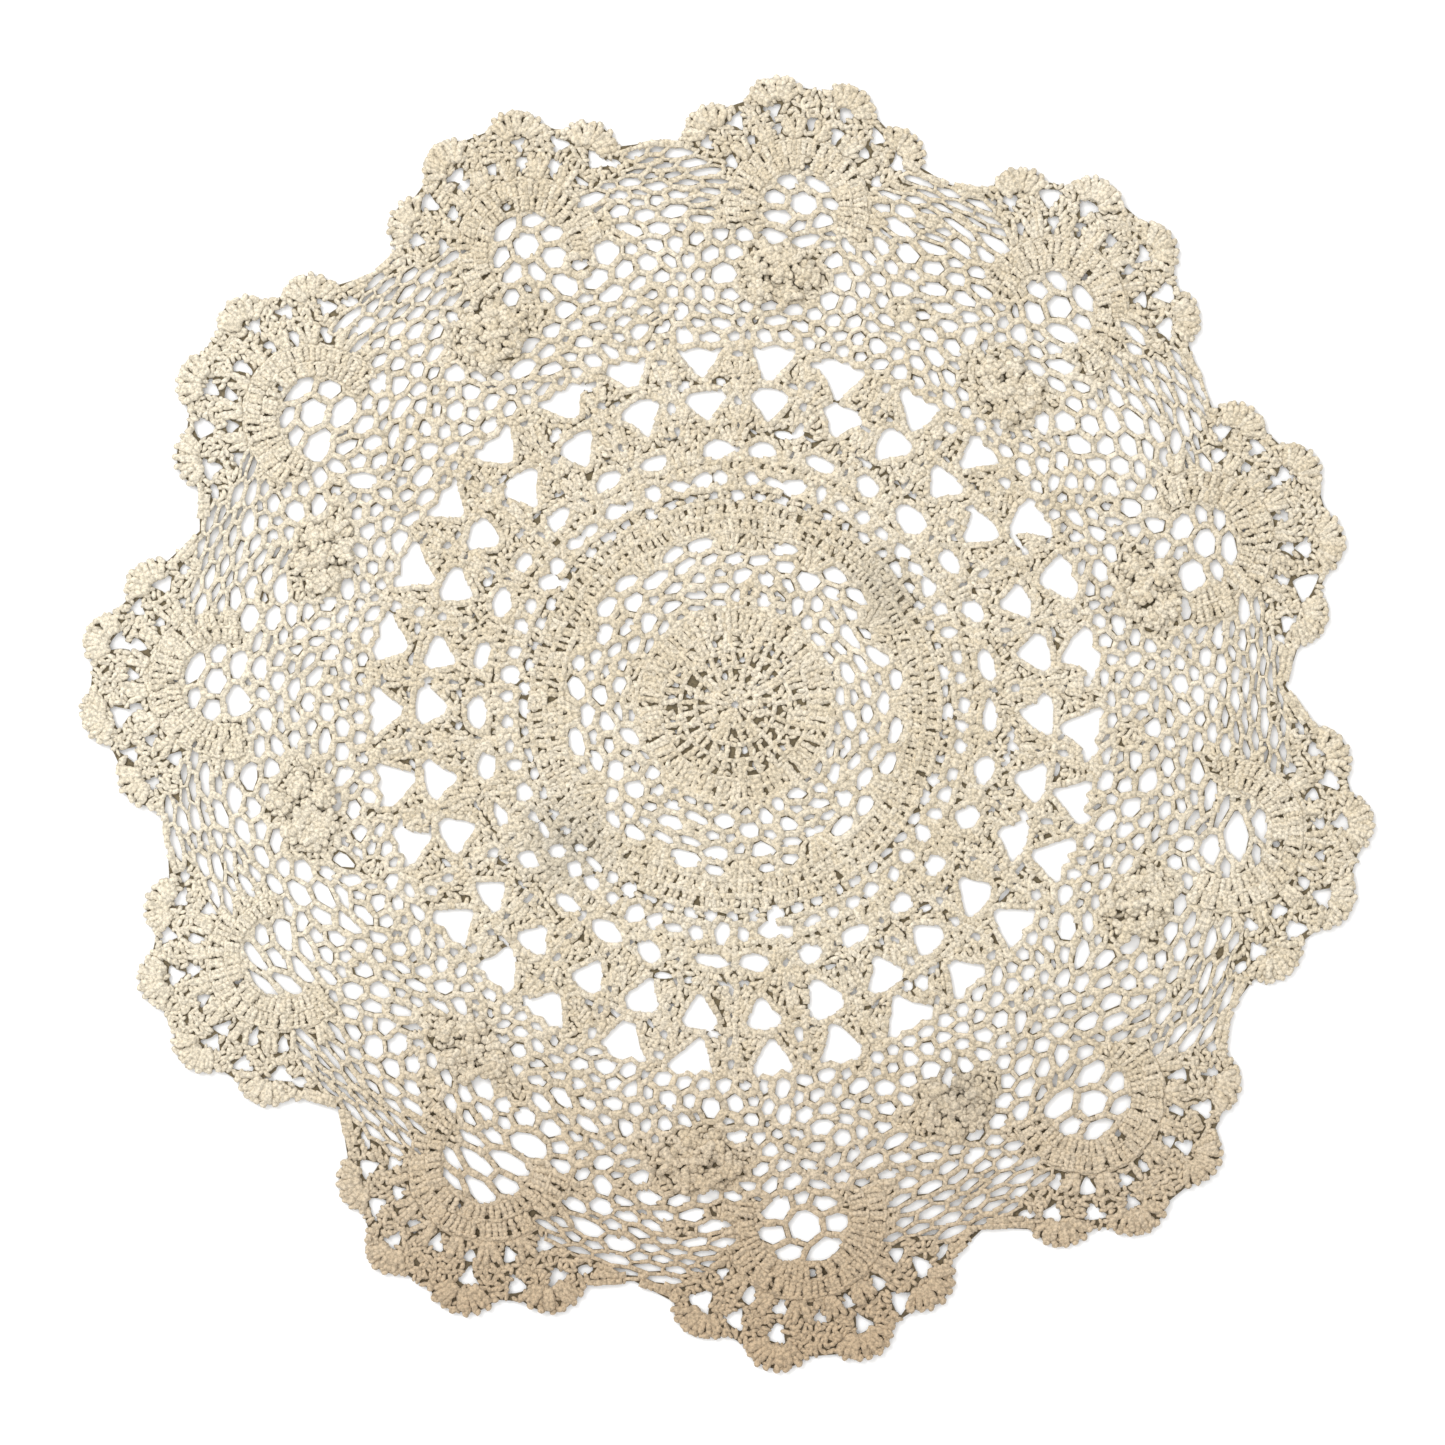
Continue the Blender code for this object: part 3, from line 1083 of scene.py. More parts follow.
@dataclass(frozen=True)
class InnerNet(ClothPart):
    """The uneven open net between the medallion and the bands, with twelve small shells."""

    name: str = "inner_net_stitches"
    rounds: tuple[NetRound, ...] = (
        #        radius     count first
        NetRound(33.2 * MM, 30, 2.0),
        NetRound(37.4 * MM, 28, 7.0),
        NetRound(41.8 * MM, 33, 3.0),
        NetRound(46.5 * MM, 36, 8.0),
        NetRound(51.6 * MM, 36, -2.0, 3),
    )
    slip: float = 0.13
    drift: float = 0.6 * MM
    closed_share: float = 0.05
    borders: tuple[float, ...] = (29.6 * MM, 56.4 * MM)
    border_step_deg: float = 6.0
    half_strand: float = 1.04 * MM
    strand_uneven: float = 0.14
    shell_first_deg: float = -2.0
    shell_count: int = 12
    shell_base: float = 49.3 * MM
    shell_tip: float = 55.4 * MM
    shell_base_half: float = 1.6 * MM
    shell_tip_half: float = 5.0 * MM
    shell_posts: int = 6
    shell_rise: float = 0.25 * MM

    def mark(self, work: Work) -> None:
        """Scatter the seeds of the net's loops.

        Args:
            work: The work being laid out.
        """
        rng = work.rng
        net = work.nets[self.name] = LoopNet(np.asarray)
        for radius in self.borders:
            around = LIE.place(radius, np.arange(0.0, 360.0, self.border_step_deg))
            net.add(around, False, self.half_strand)
        for row in self.rounds:
            steps = np.arange(row.count)
            slips = rng.normal(0.0, self.slip, row.count)
            degrees = row.first_deg + (steps + slips) * 360.0 / row.count
            radius = row.radius + rng.normal(0.0, self.drift, row.count)
            is_open = rng.random(row.count) > self.closed_share
            if row.shell_each:
                is_open &= steps % row.shell_each != 0
            half = self.half_strand * rng.normal(1.0, self.strand_uneven, row.count)
            net.add(LIE.place(radius, degrees), is_open, half)

    def lay(self, rows: StitchRows) -> None:
        """Lay the net and its twelve shells.

        Args:
            rows: Where the stitches are written.
        """
        rows.network(rows.work.nets[self.name])
        fan = np.linspace(-1.0, 1.0, self.shell_posts)
        for shell in range(self.shell_count):
            middle = self.shell_first_deg + shell * 360.0 / self.shell_count
            foot = np.degrees(self.shell_base_half * fan / self.shell_base)
            top = np.degrees(self.shell_tip_half * fan / self.shell_tip)
            bases, tips = LIE.place(self.shell_base, middle + foot), LIE.place(self.shell_tip, middle + top)
            rows.posts(bases, tips, rise=self.shell_rise)


@dataclass(frozen=True)
class PostBands(RingedPart):
    """Two close rounds of posts, and the lighter rounds that lead to the fans."""

    name: str = "band_stitches"
    slits: GapRow = GapRow(66.4 * MM, 60, 0.2, 4.6 * MM, 3.6 * MM, oval(6), 0.22)
    ring_gaps: tuple[GapRow, ...] = (
        #      radius     count first across    out       corners
        GapRow(71.8 * MM, 60, 3.2, 6.7 * MM, 6.1 * MM, oval(6), 0.15),
        GapRow(81.0 * MM, 30, 6.2, 11.0 * MM, 7.2 * MM, oval(7), 0.12),
    )
    rings: tuple[PostRing, ...] = (
        #        radius     length    count stitch
        PostRing(55.3 * MM, 4.6 * MM, 186, Stitch.CAPPED_POST),
        PostRing(60.0 * MM, 4.6 * MM, 200, Stitch.CAPPED_POST, 1.0),
        PostRing(64.7 * MM, 4.5 * MM, 150, Stitch.POST, 1.0, 1.1),
        PostRing(69.2 * MM, 4.9 * MM, 120, Stitch.POST, 0.0, 1.1),
        PostRing(74.3 * MM, 4.2 * MM, 150, Stitch.POST, 0.0, 1.15),
    )
    ridges: tuple[float, ...] = (55.0 * MM, 59.9 * MM, 64.5 * MM, 69.0 * MM, 74.2 * MM)
    ridge_wide: float = 0.9
    ridge_rise: float = 0.25 * MM

    def mark(self, work: Work) -> None:
        """Open the slits and the two rounds of gaps.

        Args:
            work: The work being laid out.
        """
        work.cut(self.slits.loops(work.rng))
        for row in self.ring_gaps:
            work.cut(row.loops(work.rng), rimmed=True)


@dataclass(frozen=True)
class FanLevel:
    """One shell of a fan column: its foot and top, and how far its outer posts spread."""

    foot: float
    top: float
    foot_half: float
    top_half: float


@dataclass(frozen=True)
class FanBand(ClothPart):
    """Thirty columns of stacked shells with big gaps between them."""

    name: str = "fan_stitches"
    count: int = 30
    first_deg: float = 6.2
    gaps: tuple[GapRow, ...] = (
        #      radius     count first across     out        corners
        GapRow(95.2 * MM, 30, 6.2, 13.2 * MM, 11.6 * MM, FAN_GAP, 0.07),
        GapRow(110.6 * MM, 30, 6.2, 16.4 * MM, 14.5 * MM, FAN_GAP, 0.07),
    )
    column_holes: tuple[GapRow, ...] = (
        #      radius     count first  across    out       corners
        GapRow(81.3 * MM, 30, 12.2, 2.5 * MM, 3.9 * MM, oval(6), 0.22),
        GapRow(88.8 * MM, 30, 12.2, 2.9 * MM, 4.3 * MM, oval(6), 0.22),
        GapRow(96.7 * MM, 30, 12.2, 3.3 * MM, 4.0 * MM, oval(6), 0.22),
        GapRow(104.2 * MM, 30, 12.2, 3.5 * MM, 4.4 * MM, oval(6), 0.22),
        GapRow(111.6 * MM, 30, 12.2, 4.4 * MM, 3.9 * MM, oval(6), 0.2),
    )
    levels: tuple[FanLevel, ...] = (
        #        foot       top         foot half  top half
        FanLevel(77.6 * MM, 82.0 * MM, 2.6 * MM, 3.8 * MM),
        FanLevel(84.6 * MM, 88.4 * MM, 3.4 * MM, 5.4 * MM),
        FanLevel(91.0 * MM, 95.2 * MM, 2.4 * MM, 3.6 * MM),
        FanLevel(99.0 * MM, 102.8 * MM, 3.8 * MM, 6.0 * MM),
        FanLevel(105.8 * MM, 109.6 * MM, 2.4 * MM, 3.4 * MM),
        FanLevel(113.2 * MM, 117.2 * MM, 4.0 * MM, 8.0 * MM),
    )
    posts: int = 6
    post_wide: float = 1.05
    post_rise: float = 0.2 * MM
    post_uneven: float = 0.3 * MM
    # Slits beside each column: their radius, and the angle from the middle of the big gap.
    slit_rows: tuple[tuple[float, float], ...] = ((103.0 * MM, 3.2), (87.2 * MM, 3.4))
    slit_across: float = 4.0 * MM
    slit_high: float = 2.0 * MM
    slit_uneven: float = 0.3
    slit_share: float = 0.65
    ridges: tuple[float, ...] = (78.2 * MM, 101.3 * MM)

    def mark(self, work: Work) -> None:
        """Open the big gaps, the small holes up each column and the slits beside them.

        Args:
            work: The work being laid out.
        """
        for row in self.gaps + self.column_holes:
            work.cut(row.loops(work.rng), rimmed=True)
        for radius, aside in self.slit_rows:
            for side in (-aside, aside):
                slits = GapRow(
                    radius, self.count, self.first_deg + side, self.slit_across, self.slit_high,
                    oval(6), self.slit_uneven,
                )
                for loop in slits.loops(work.rng):
                    if work.rng.random() < self.slit_share:
                        work.cut([loop])

    def lay(self, rows: StitchRows) -> None:
        """Lay the shells of every column and the chains that bridge them.

        Args:
            rows: Where the stitches are written.
        """
        spread = np.linspace(-1.0, 1.0, self.posts)
        for column in range(self.count):
            middle = self.first_deg + (column + 0.5) * 360.0 / self.count
            for level in self.levels:
                uneven = rows.work.rng.normal(0.0, self.post_uneven, (2, self.posts))
                foot = level.foot_half * spread + uneven[0]
                top = level.top_half * spread + uneven[1]
                bases = LIE.place(level.foot, middle + np.degrees(foot / level.foot))
                tips = LIE.place(level.top, middle + np.degrees(top / level.top))
                rows.posts(bases, tips, rise=self.post_rise, wide=self.post_wide)
        for radius in self.ridges:
            RidgeRing(radius).lay(rows)


@dataclass(frozen=True)
class OuterNet(ClothPart):
    """The wide net of small chain loops between the fans and the scallops, with the scallops' eyes."""

    name: str = "net_stitches"
    inner: float = 115.0 * MM
    rim: float = 177.0 * MM
    # The first and last rounds are closed: they only end the net.
    rounds: tuple[float, ...] = (
        113.6 * MM, 118.0 * MM, 123.0 * MM, 128.0 * MM, 133.0 * MM, 138.0 * MM, 143.0 * MM, 148.0 * MM,
        153.0 * MM, 157.6 * MM, 161.6 * MM, 165.0 * MM, 168.2 * MM, 171.2 * MM, 174.0 * MM, 176.6 * MM,
        179.6 * MM,
    )
    count: int = 120
    # In the pattern each round is this share bigger than the last, so its loops are even.
    growth: float = 0.0454
    slip: float = 0.23
    slip_out: float = 0.21
    half_strand: float = 0.96 * MM
    # Half a strand is at most this share of the space between two rounds.
    half_strand_share: float = 0.22
    strand_uneven: float = 0.2
    notch_inset: float = 2.6 * MM
    drift: float = 1.6 * MM
    closed_share: float = 0.025
    arch_from: float = 13.6 * MM
    arch_to: float = 25.0 * MM
    arch_reach_deg: float = 106.0
    edging_from: float = 9.0 * MM
    edging_half: float = 40.0 * MM
    # The eye comes first, then its petals: right of the axis, and outwards.
    eye_loops: tuple[tuple[float, float], ...] = (
        (0.0, 0.0), (5.2 * MM, 8.0 * MM), (-5.2 * MM, 8.0 * MM),
        (10.0 * MM, 1.4 * MM), (-10.0 * MM, 1.4 * MM),
        (6.8 * MM, -6.4 * MM), (-6.8 * MM, -6.4 * MM), (0.0, -8.8 * MM),
    )
    eye_reach: float = 12.0 * MM
    eye_slip: float = 0.4 * MM
    # Closed loops line each arch, and keep the net's own loops this far off.
    lining: float = 16.4 * MM
    lining_step_deg: float = 10.0
    lining_room: float = 1.5 * MM
    lining_room_deg: float = 4.0

    def reach(self, degrees: Array) -> Array:
        """How far out the net goes at each angle.

        Args:
            degrees: Clockwise angles.

        Returns:
            Distances from the middle.
        """
        notch_degs = np.array([scallop.notch_deg for scallop in SCALLOPS])
        notches = np.array([scallop.notch for scallop in SCALLOPS]) - self.notch_inset
        return np.interp(degrees, notch_degs, notches, period=360.0)

    def on_cloth(self, drawn: Array) -> Array:
        """Lay points of the even pattern on the cloth, closer together towards the notches.

        Args:
            drawn: Points of the pattern.

        Returns:
            Points in the plane.
        """
        number = np.log(np.hypot(drawn[..., 0], drawn[..., 1])) / self.growth
        radius = np.interp(number, np.arange(len(self.rounds)), self.rounds)
        share = (radius - self.inner) / (self.rim - self.inner)
        degrees = heading(drawn)
        far = self.inner + share * (self.reach(degrees) - self.inner)
        points = spoke(degrees + (1.0 - share) * LIE.mean_lean_deg) * far[..., None]
        points[..., 1] -= (1.0 - share) * self.drift
        loose = np.clip(4.0 * share * (1.0 - share), 0.0, 1.0)[..., None]
        return points + loose * (LIE.tugged(points) - points)

    def in_pattern(self, points: Array) -> Array:
        """Find where points of the cloth lie in the even pattern, near enough.

        Args:
            points: Points in the plane.

        Returns:
            Points of the pattern.
        """
        degrees = heading(points)
        far = np.hypot(points[..., 0], points[..., 1])
        room = self.reach(degrees) - self.inner
        radius = self.inner + (far - self.inner) * (self.rim - self.inner) / room
        number = np.interp(radius, self.rounds, np.arange(len(self.rounds)))
        return spoke(degrees) * np.exp(self.growth * number)[..., None]

    def worked_close(self, points: Array) -> Array:
        """Say which points lie in a rose, in a scallop's arch or in the edging.

        Args:
            points: Points in the plane.

        Returns:
            True where the net gives way to close work.
        """
        close = np.zeros(len(points), dtype=bool)
        for rose in ROSES:
            close |= rose.covers(points)
        for place in FRAMES:
            side, out = place.local(points)
            radius, angle = place.from_arch(points)
            close |= (radius > self.arch_from) & (radius < self.arch_to) & (angle < self.arch_reach_deg)
            close |= (radius >= self.arch_to) & (out > self.edging_from) & (np.abs(side) < self.edging_half)
        return close

    def in_eyes(self, points: Array) -> Array:
        """Say which points lie where an eye and its petals take the net's place.

        Args:
            points: Points in the plane.

        Returns:
            True where they do.
        """
        inside = np.zeros(len(points), dtype=bool)
        for place in FRAMES:
            radius, angle = place.from_arch(points)
            near_arch = radius < self.lining + self.lining_room
            inside |= np.hypot(*place.local(points)) < self.eye_reach
            inside |= near_arch & (angle < self.arch_reach_deg + self.lining_room_deg)
        return inside

    def mark(self, work: Work) -> None:
        """Scatter the seeds of the net's loops, then those of the eyes.

        Args:
            work: The work being laid out.
        """
        rng = work.rng
        net = work.nets[self.name] = LoopNet(self.on_cloth)
        last = len(self.rounds) - 1
        for number in range(last + 1):
            inner_one = 0 < number < last
            along = rng.normal(0.0, self.slip, self.count)
            out = rng.normal(0.0, self.slip_out, self.count) * inner_one
            degrees = (np.arange(self.count) + 0.5 * (number % 2) + along) * 360.0 / self.count
            drawn = spoke(degrees) * np.exp(self.growth * (number + out))[:, None]
            points = self.on_cloth(drawn)
            is_open = ~self.worked_close(points) & (rng.random(self.count) > self.closed_share) & inner_one
            kept = ~self.in_eyes(points)
            space = self.rounds[min(number + 1, last)] - self.rounds[min(number, last - 1)]
            half = min(self.half_strand, self.half_strand_share * space)
            halves = half * rng.normal(1.0, self.strand_uneven, self.count)
            net.add(drawn[kept], is_open[kept], halves[kept])
        lining = np.arange(-self.arch_reach_deg, self.arch_reach_deg + 1.0, self.lining_step_deg)
        for place in FRAMES:
            loops = np.array(self.eye_loops) + rng.normal(0.0, self.eye_slip, (len(self.eye_loops), 2))
            net.add(self.in_pattern(place.place(loops[:, 0], loops[:, 1])), True, self.half_strand)
            net.add(self.in_pattern(place.around(self.lining, lining)), False, self.half_strand)

    def lay(self, rows: StitchRows) -> None:
        """Lay the chains and knots of the net."""
        rows.network(rows.work.nets[self.name])


@dataclass(frozen=True)
class RoseHeaps(ClothPart):
    """Ten raised heaps of little shells, in rows of two, three and two."""

    name: str = "rose_stitches"
    shells_in_rows: tuple[int, ...] = (2, 3, 2)
    step: float = 8.6 * MM
    row_step: float = 6.2 * MM
    slip: float = 0.6 * MM
    posts: int = 9
    near: float = 0.5 * MM
    reach: float = 4.2 * MM
    reach_uneven: float = 0.1
    post_wide: float = 1.5
    over_gaps: int = 8
    raise_by: float = 1.1 * MM
    raise_uneven: float = 0.25
    middle_wide: float = 1.3
    # The knot in a shell's middle is raised by this much more than its posts.
    middle_raise: float = 1.5

    def lay(self, rows: StitchRows) -> None:
        """Lay each rose's shells, their posts spreading from a raised middle.

        Args:
            rows: Where the stitches are written.
        """
        rng = rows.work.rng
        for rose in ROSES:
            for number, shells in enumerate(self.shells_in_rows):
                for shell in range(shells):
                    side = (shell - 0.5 * (shells - 1)) * self.step + rng.normal(0.0, self.slip)
                    out = (number - 1) * self.row_step + rng.normal(0.0, self.slip)
                    ways = spoke(rng.uniform(0.0, 360.0) + np.arange(self.posts) * 360.0 / self.posts)
                    far = self.reach * rng.normal(1.0, self.reach_uneven, self.posts)
                    bases = rose.place(side + ways[:, 0] * self.near, out + ways[:, 1] * self.near)
                    tips = rose.place(side + ways[:, 0] * far, out + ways[:, 1] * far)
                    rise = self.raise_by * rng.normal(1.0, self.raise_uneven, self.posts)
                    rows.posts(bases, tips, rise=rise, wide=self.post_wide, over_gaps=self.over_gaps)
                    middle = rose.place(np.array([side]), np.array([out]))
                    rows.knots(middle, self.middle_wide, self.middle_raise * self.raise_by)


@dataclass(frozen=True)
class ScallopGap:
    """A gap of a scallop, placed from its eye, with its twin on the other side."""

    side: float
    out: float
    across: float
    high: float
    turn_deg: float
    corners: Array
    twin: bool = True
    share: float = 1.0
    uneven: float = 0.12
    dent: float = 0.05
    slip: float = 0.6 * MM
    slip_deg: float = 6.0

    def loops(self, place: ScallopFrame, rng: Random) -> list[Array]:
        """This gap's corner loops in one scallop.

        Args:
            place: The scallop's frame.
            rng: Source of the unevenness.

        Returns:
            Up to two arrays of corners.
        """
        loops = []
        for hand in (1.0, -1.0) if self.twin else (1.0,):
            turn = math.radians(self.turn_deg + rng.normal(0.0, self.slip_deg))
            size = rng.normal(1.0, self.uneven, 2)
            corners = self.corners * size + rng.normal(0.0, self.dent, self.corners.shape)
            wide, high = corners[:, 0] * self.across, corners[:, 1] * self.high
            shift = rng.normal(0.0, self.slip, 2)
            side = self.side + shift[0] + wide * math.cos(turn) - high * math.sin(turn)
            out = self.out + shift[1] + wide * math.sin(turn) + high * math.cos(turn)
            if rng.random() < self.share:
                loops.append(place.place(hand * side, out))
        return loops


@dataclass(frozen=True)
class ScallopArches(ClothPart):
    """The arches of two rows of posts over the eleven eyes."""

    name: str = "scallop_stitches"
    apex: ScallopGap = ScallopGap(0.0, 13.2 * MM, 2.6 * MM, 2.4 * MM, 0.0, oval(6), False)
    reach_deg: float = 105.0
    rows: tuple[tuple[float, float, int], ...] = (
        # radius   length    posts
        (14.4 * MM, 4.6 * MM, 34),
        (19.1 * MM, 4.8 * MM, 46),
    )
    slip_deg: float = 0.5
    slant_deg: float = 1.0
    post_wide: float = 1.15
    post_rise: float = 0.6 * MM
    ridges: tuple[float, ...] = (14.0 * MM, 18.9 * MM, 24.1 * MM)
    ridge_step_deg: float = 5.0
    ridge_wide: float = 0.8
    ridge_rise: float = 0.1 * MM

    def mark(self, work: Work) -> None:
        """Open the small hole at the top of each arch."""
        for place in FRAMES:
            work.cut(self.apex.loops(place, work.rng))

    def lay(self, rows: StitchRows) -> None:
        """Lay the arches.

        Args:
            rows: Where the stitches are written.
        """
        rng = rows.work.rng
        sweep = np.arange(-self.reach_deg, self.reach_deg + 1.0, self.ridge_step_deg)
        for place in FRAMES:
            for radius in self.ridges:
                rows.chain(place.around(radius, sweep), wide=self.ridge_wide, rise=self.ridge_rise)
            for radius, length, count in self.rows:
                degrees = np.linspace(-self.reach_deg, self.reach_deg, count)
                degrees = degrees + rng.normal(0.0, self.slip_deg, count)
                bases = place.around(radius, degrees)
                tips = place.around(radius + length, degrees + rng.normal(0.0, self.slant_deg, count))
                rows.posts(bases, tips, Stitch.CAPPED_POST, self.post_wide, self.post_rise)


@dataclass(frozen=True)
class BigShell:
    """A big shell of the edging, as the arc that it adds to the outline."""

    side: float
    out: float
    radius: float
    start_deg: float
    end_deg: float

    def place(self, frame_of: ScallopFrame, ways: Array) -> Array:
        """Points at vectors from the shell's middle, in one scallop."""
        return frame_of.place(self.side + ways[:, 0], self.out + ways[:, 1])


BIG_SHELLS = (
    #        side        out        radius     start  end
    BigShell(-30.2 * MM, 18.9 * MM, 10.7 * MM, -108.0, 20.0),
    BigShell(-11.3 * MM, 30.6 * MM, 10.9 * MM, -82.0, 42.0),
    BigShell(11.3 * MM, 30.6 * MM, 10.9 * MM, -42.0, 82.0),
    BigShell(30.2 * MM, 18.9 * MM, 10.7 * MM, -20.0, 108.0),
)


@dataclass(frozen=True)
class Edging(ClothPart):
    """The knobbly edge: a row of shells round each arch, and big shells beyond it."""

    name: str = "edging_stitches"
    inset: float = 0.8 * MM
    arc_step_deg: float = 10.0
    gaps: tuple[ScallopGap, ...] = (
        #          side       out        across    high      turn    corners
        ScallopGap(0.0 * MM, 25.8 * MM, 5.6 * MM, 4.8 * MM, 0.0, WEDGE_GAP, False),
        ScallopGap(9.7 * MM, 23.8 * MM, 5.8 * MM, 4.8 * MM, -20.0, WEDGE_GAP),
        ScallopGap(18.3 * MM, 18.8 * MM, 5.8 * MM, 4.8 * MM, -40.0, WEDGE_GAP),
        ScallopGap(24.8 * MM, 11.2 * MM, 6.6 * MM, 4.8 * MM, -62.0, WEDGE_GAP),
        ScallopGap(11.9 * MM, 29.8 * MM, 7.8 * MM, 6.0 * MM, -20.0, WEDGE_GAP),
        ScallopGap(23.4 * MM, 24.8 * MM, 8.2 * MM, 6.0 * MM, -40.0, WEDGE_GAP),
        ScallopGap(31.8 * MM, 16.6 * MM, 7.8 * MM, 5.6 * MM, -58.0, WEDGE_GAP),
        ScallopGap(38.2 * MM, 11.6 * MM, 6.4 * MM, 3.0 * MM, -40.0, oval(6), True, 0.8),
    )
    shell_degs: tuple[float, ...] = (-88.0, -70.0, -50.0, -30.0, -10.0, 10.0, 30.0, 50.0, 70.0, 88.0)
    shell_base: float = 24.6 * MM
    shell_tip: float = 30.6 * MM
    shell_base_half_deg: float = 4.5
    shell_tip_half_deg: float = 9.5
    shell_slip_deg: float = 0.8
    shell_posts: int = 6
    shell_wide: float = 1.2
    shell_rise: float = 0.3 * MM
    # Places in a big shell are shares of its radius.
    big_posts: int = 11
    big_base: float = 0.34
    big_tip: float = 0.86
    big_margin_deg: float = 4.0
    big_slip_deg: float = 2.0
    big_wide: float = 1.3
    big_rise: float = 0.45 * MM
    knobs: int = 8
    knob_at: float = 0.90
    knob_slip_deg: float = 1.2
    knob_rise: float = 0.15 * MM
    bridge_insets: tuple[float, ...] = (0.9 * MM, 2.9 * MM)
    bridge_rise: float = 0.2 * MM

    def outline(self) -> Array:
        """Draw the doily's edge: four big shells to a scallop, then the notch.

        Returns:
            The edge's points, clockwise.
        """
        points = []
        for place, scallop in zip(FRAMES, SCALLOPS):
            for shell in BIG_SHELLS:
                degrees = np.arange(shell.start_deg, shell.end_deg + 1.0, self.arc_step_deg)
                points.extend(shell.place(place, spoke(degrees) * (shell.radius - self.inset)))
            points.append(spoke(scallop.notch_deg) * (scallop.notch - self.inset))
        return np.array(points)

    def mark(self, work: Work) -> None:
        """Open the wedge-shaped gaps under the shells.

        Args:
            work: The work being laid out.
        """
        for place in FRAMES:
            for gap in self.gaps:
                work.cut(gap.loops(place, work.rng))

    def lay(self, rows: StitchRows) -> None:
        """Lay the shells, the knobs along the edge and the chains across the notches.

        Args:
            rows: Where the stitches are written.
        """
        for place in FRAMES:
            self.lay_shells(rows, place)
            for shell in BIG_SHELLS:
                self.lay_big_shell(rows, place, shell)
        first, last = BIG_SHELLS[0], BIG_SHELLS[-1]
        start = spoke(last.end_deg) * last.radius
        end = spoke(first.start_deg) * first.radius
        for place, scallop in zip(FRAMES, SCALLOPS):
            after = FRAMES[(place.index + 1) % len(FRAMES)]
            for inset in self.bridge_insets:
                path = np.stack([
                    place.place(last.side + start[0], last.out + start[1] - inset),
                    spoke(scallop.notch_deg) * (scallop.notch - inset),
                    after.place(first.side + end[0], first.out + end[1] - inset),
                ])
                rows.chain(path, rise=self.bridge_rise)

    def lay_shells(self, rows: StitchRows, place: ScallopFrame) -> None:
        """Lay the row of shells round one arch.

        Args:
            rows: Where the stitches are written.
            place: The scallop's frame.
        """
        spread = np.linspace(-1.0, 1.0, self.shell_posts)
        for middle in self.shell_degs:
            bases = place.around(self.shell_base, middle + self.shell_base_half_deg * spread)
            slips = rows.work.rng.normal(0.0, self.shell_slip_deg, self.shell_posts)
            tips = place.around(self.shell_tip, middle + self.shell_tip_half_deg * spread + slips)
            rows.posts(bases, tips, rise=self.shell_rise, wide=self.shell_wide)

    def lay_big_shell(self, rows: StitchRows, place: ScallopFrame, shell: BigShell) -> None:
        """Lay one big shell and the knobs at its tips.

        Args:
            rows: Where the stitches are written.
            place: The scallop's frame.
            shell: The big shell.
        """
        rng = rows.work.rng
        first, last = shell.start_deg + self.big_margin_deg, shell.end_deg - self.big_margin_deg
        degrees = np.linspace(first, last, self.big_posts)
        ways = spoke(degrees + rng.normal(0.0, self.big_slip_deg, self.big_posts)) * shell.radius
        bases, tips = shell.place(place, ways * self.big_base), shell.place(place, ways * self.big_tip)
        rows.posts(bases, tips, rise=self.big_rise, wide=self.big_wide)
        degrees = np.linspace(shell.start_deg, shell.end_deg, self.knobs)
        slips = rng.normal(0.0, self.knob_slip_deg, self.knobs)
        tops = shell.place(place, spoke(degrees + slips) * shell.radius * self.knob_at)
        rows.knots(tops, 1.0, self.knob_rise, Stitch.KNOB)


@dataclass(frozen=True)
class GapRims(ClothPart):
    """Chain worked round the edge of each big gap."""

    name: str = "gap_rim_stitches"
    set_back: float = 0.6 * MM

    def lay(self, rows: StitchRows) -> None:
        """Lay a ring of links just outside each rimmed gap.

        Args:
            rows: Where the stitches are written.
        """
        for loop in rows.work.rims:
            middle = loop.mean(0)
            away = loop - middle
            far = np.hypot(*away.T)[:, None]
            rows.chain(middle + away * (1.0 + self.set_back / far), closed=True)


@dataclass(frozen=True)
class TuckPass:
    """One pass of tucks: their spacing and size, how clear of gaps they stay, and where they go."""

    pitch: float
    size: float
    clear: float
    in_close_band: bool


@dataclass(frozen=True)
class CloseFilling(ClothPart):
    """Small tucks of thread wherever the ground would still show bare between the stitches."""

    name: str = "filling_stitches"
    passes: tuple[TuckPass, ...] = (
        #        pitch      size  clear of gaps
        TuckPass(2.05 * MM, 1.0, 0.75 * MM, True),
        TuckPass(1.98 * MM, 0.78, 0.45 * MM, False),
    )
    uneven: float = 0.15
    # How many of the seven places on and beside a tuck may lie over a gap.
    over_gaps: int = 1
    # The posts of the medallion's outer band stand close, with no room for small tucks.
    close_band: tuple[float, float] = (23.6 * MM, 31.0 * MM)

    def lay(self, rows: StitchRows) -> None:
        """Lay tucks on an uneven lattice where nothing is worked yet, then smaller ones between.

        Args:
            rows: Where the stitches are written.
        """
        canvas = rows.work.canvas
        for step in self.passes:
            reach = canvas.half - step.pitch
            across = np.arange(-reach, reach, step.pitch)
            x, y = np.meshgrid(across, np.arange(-reach, reach, step.pitch * math.sqrt(0.75)))
            x = x + 0.5 * step.pitch * (np.arange(len(y)) % 2)[:, None]
            points = np.stack([x.ravel(), y.ravel()], -1)
            points = points + rows.work.rng.normal(0.0, self.uneven * step.pitch, points.shape)
            bare = ~canvas.worked[canvas.cell(points)]
            bare &= canvas.open_near(points[:, None], step.clear) <= self.over_gaps
            if not step.in_close_band:
                radius = np.hypot(points[:, 0], points[:, 1])
                bare &= (radius < self.close_band[0]) | (radius > self.close_band[1])
            rows.knots(points[bare], step.size, stitch=Stitch.TUCK)


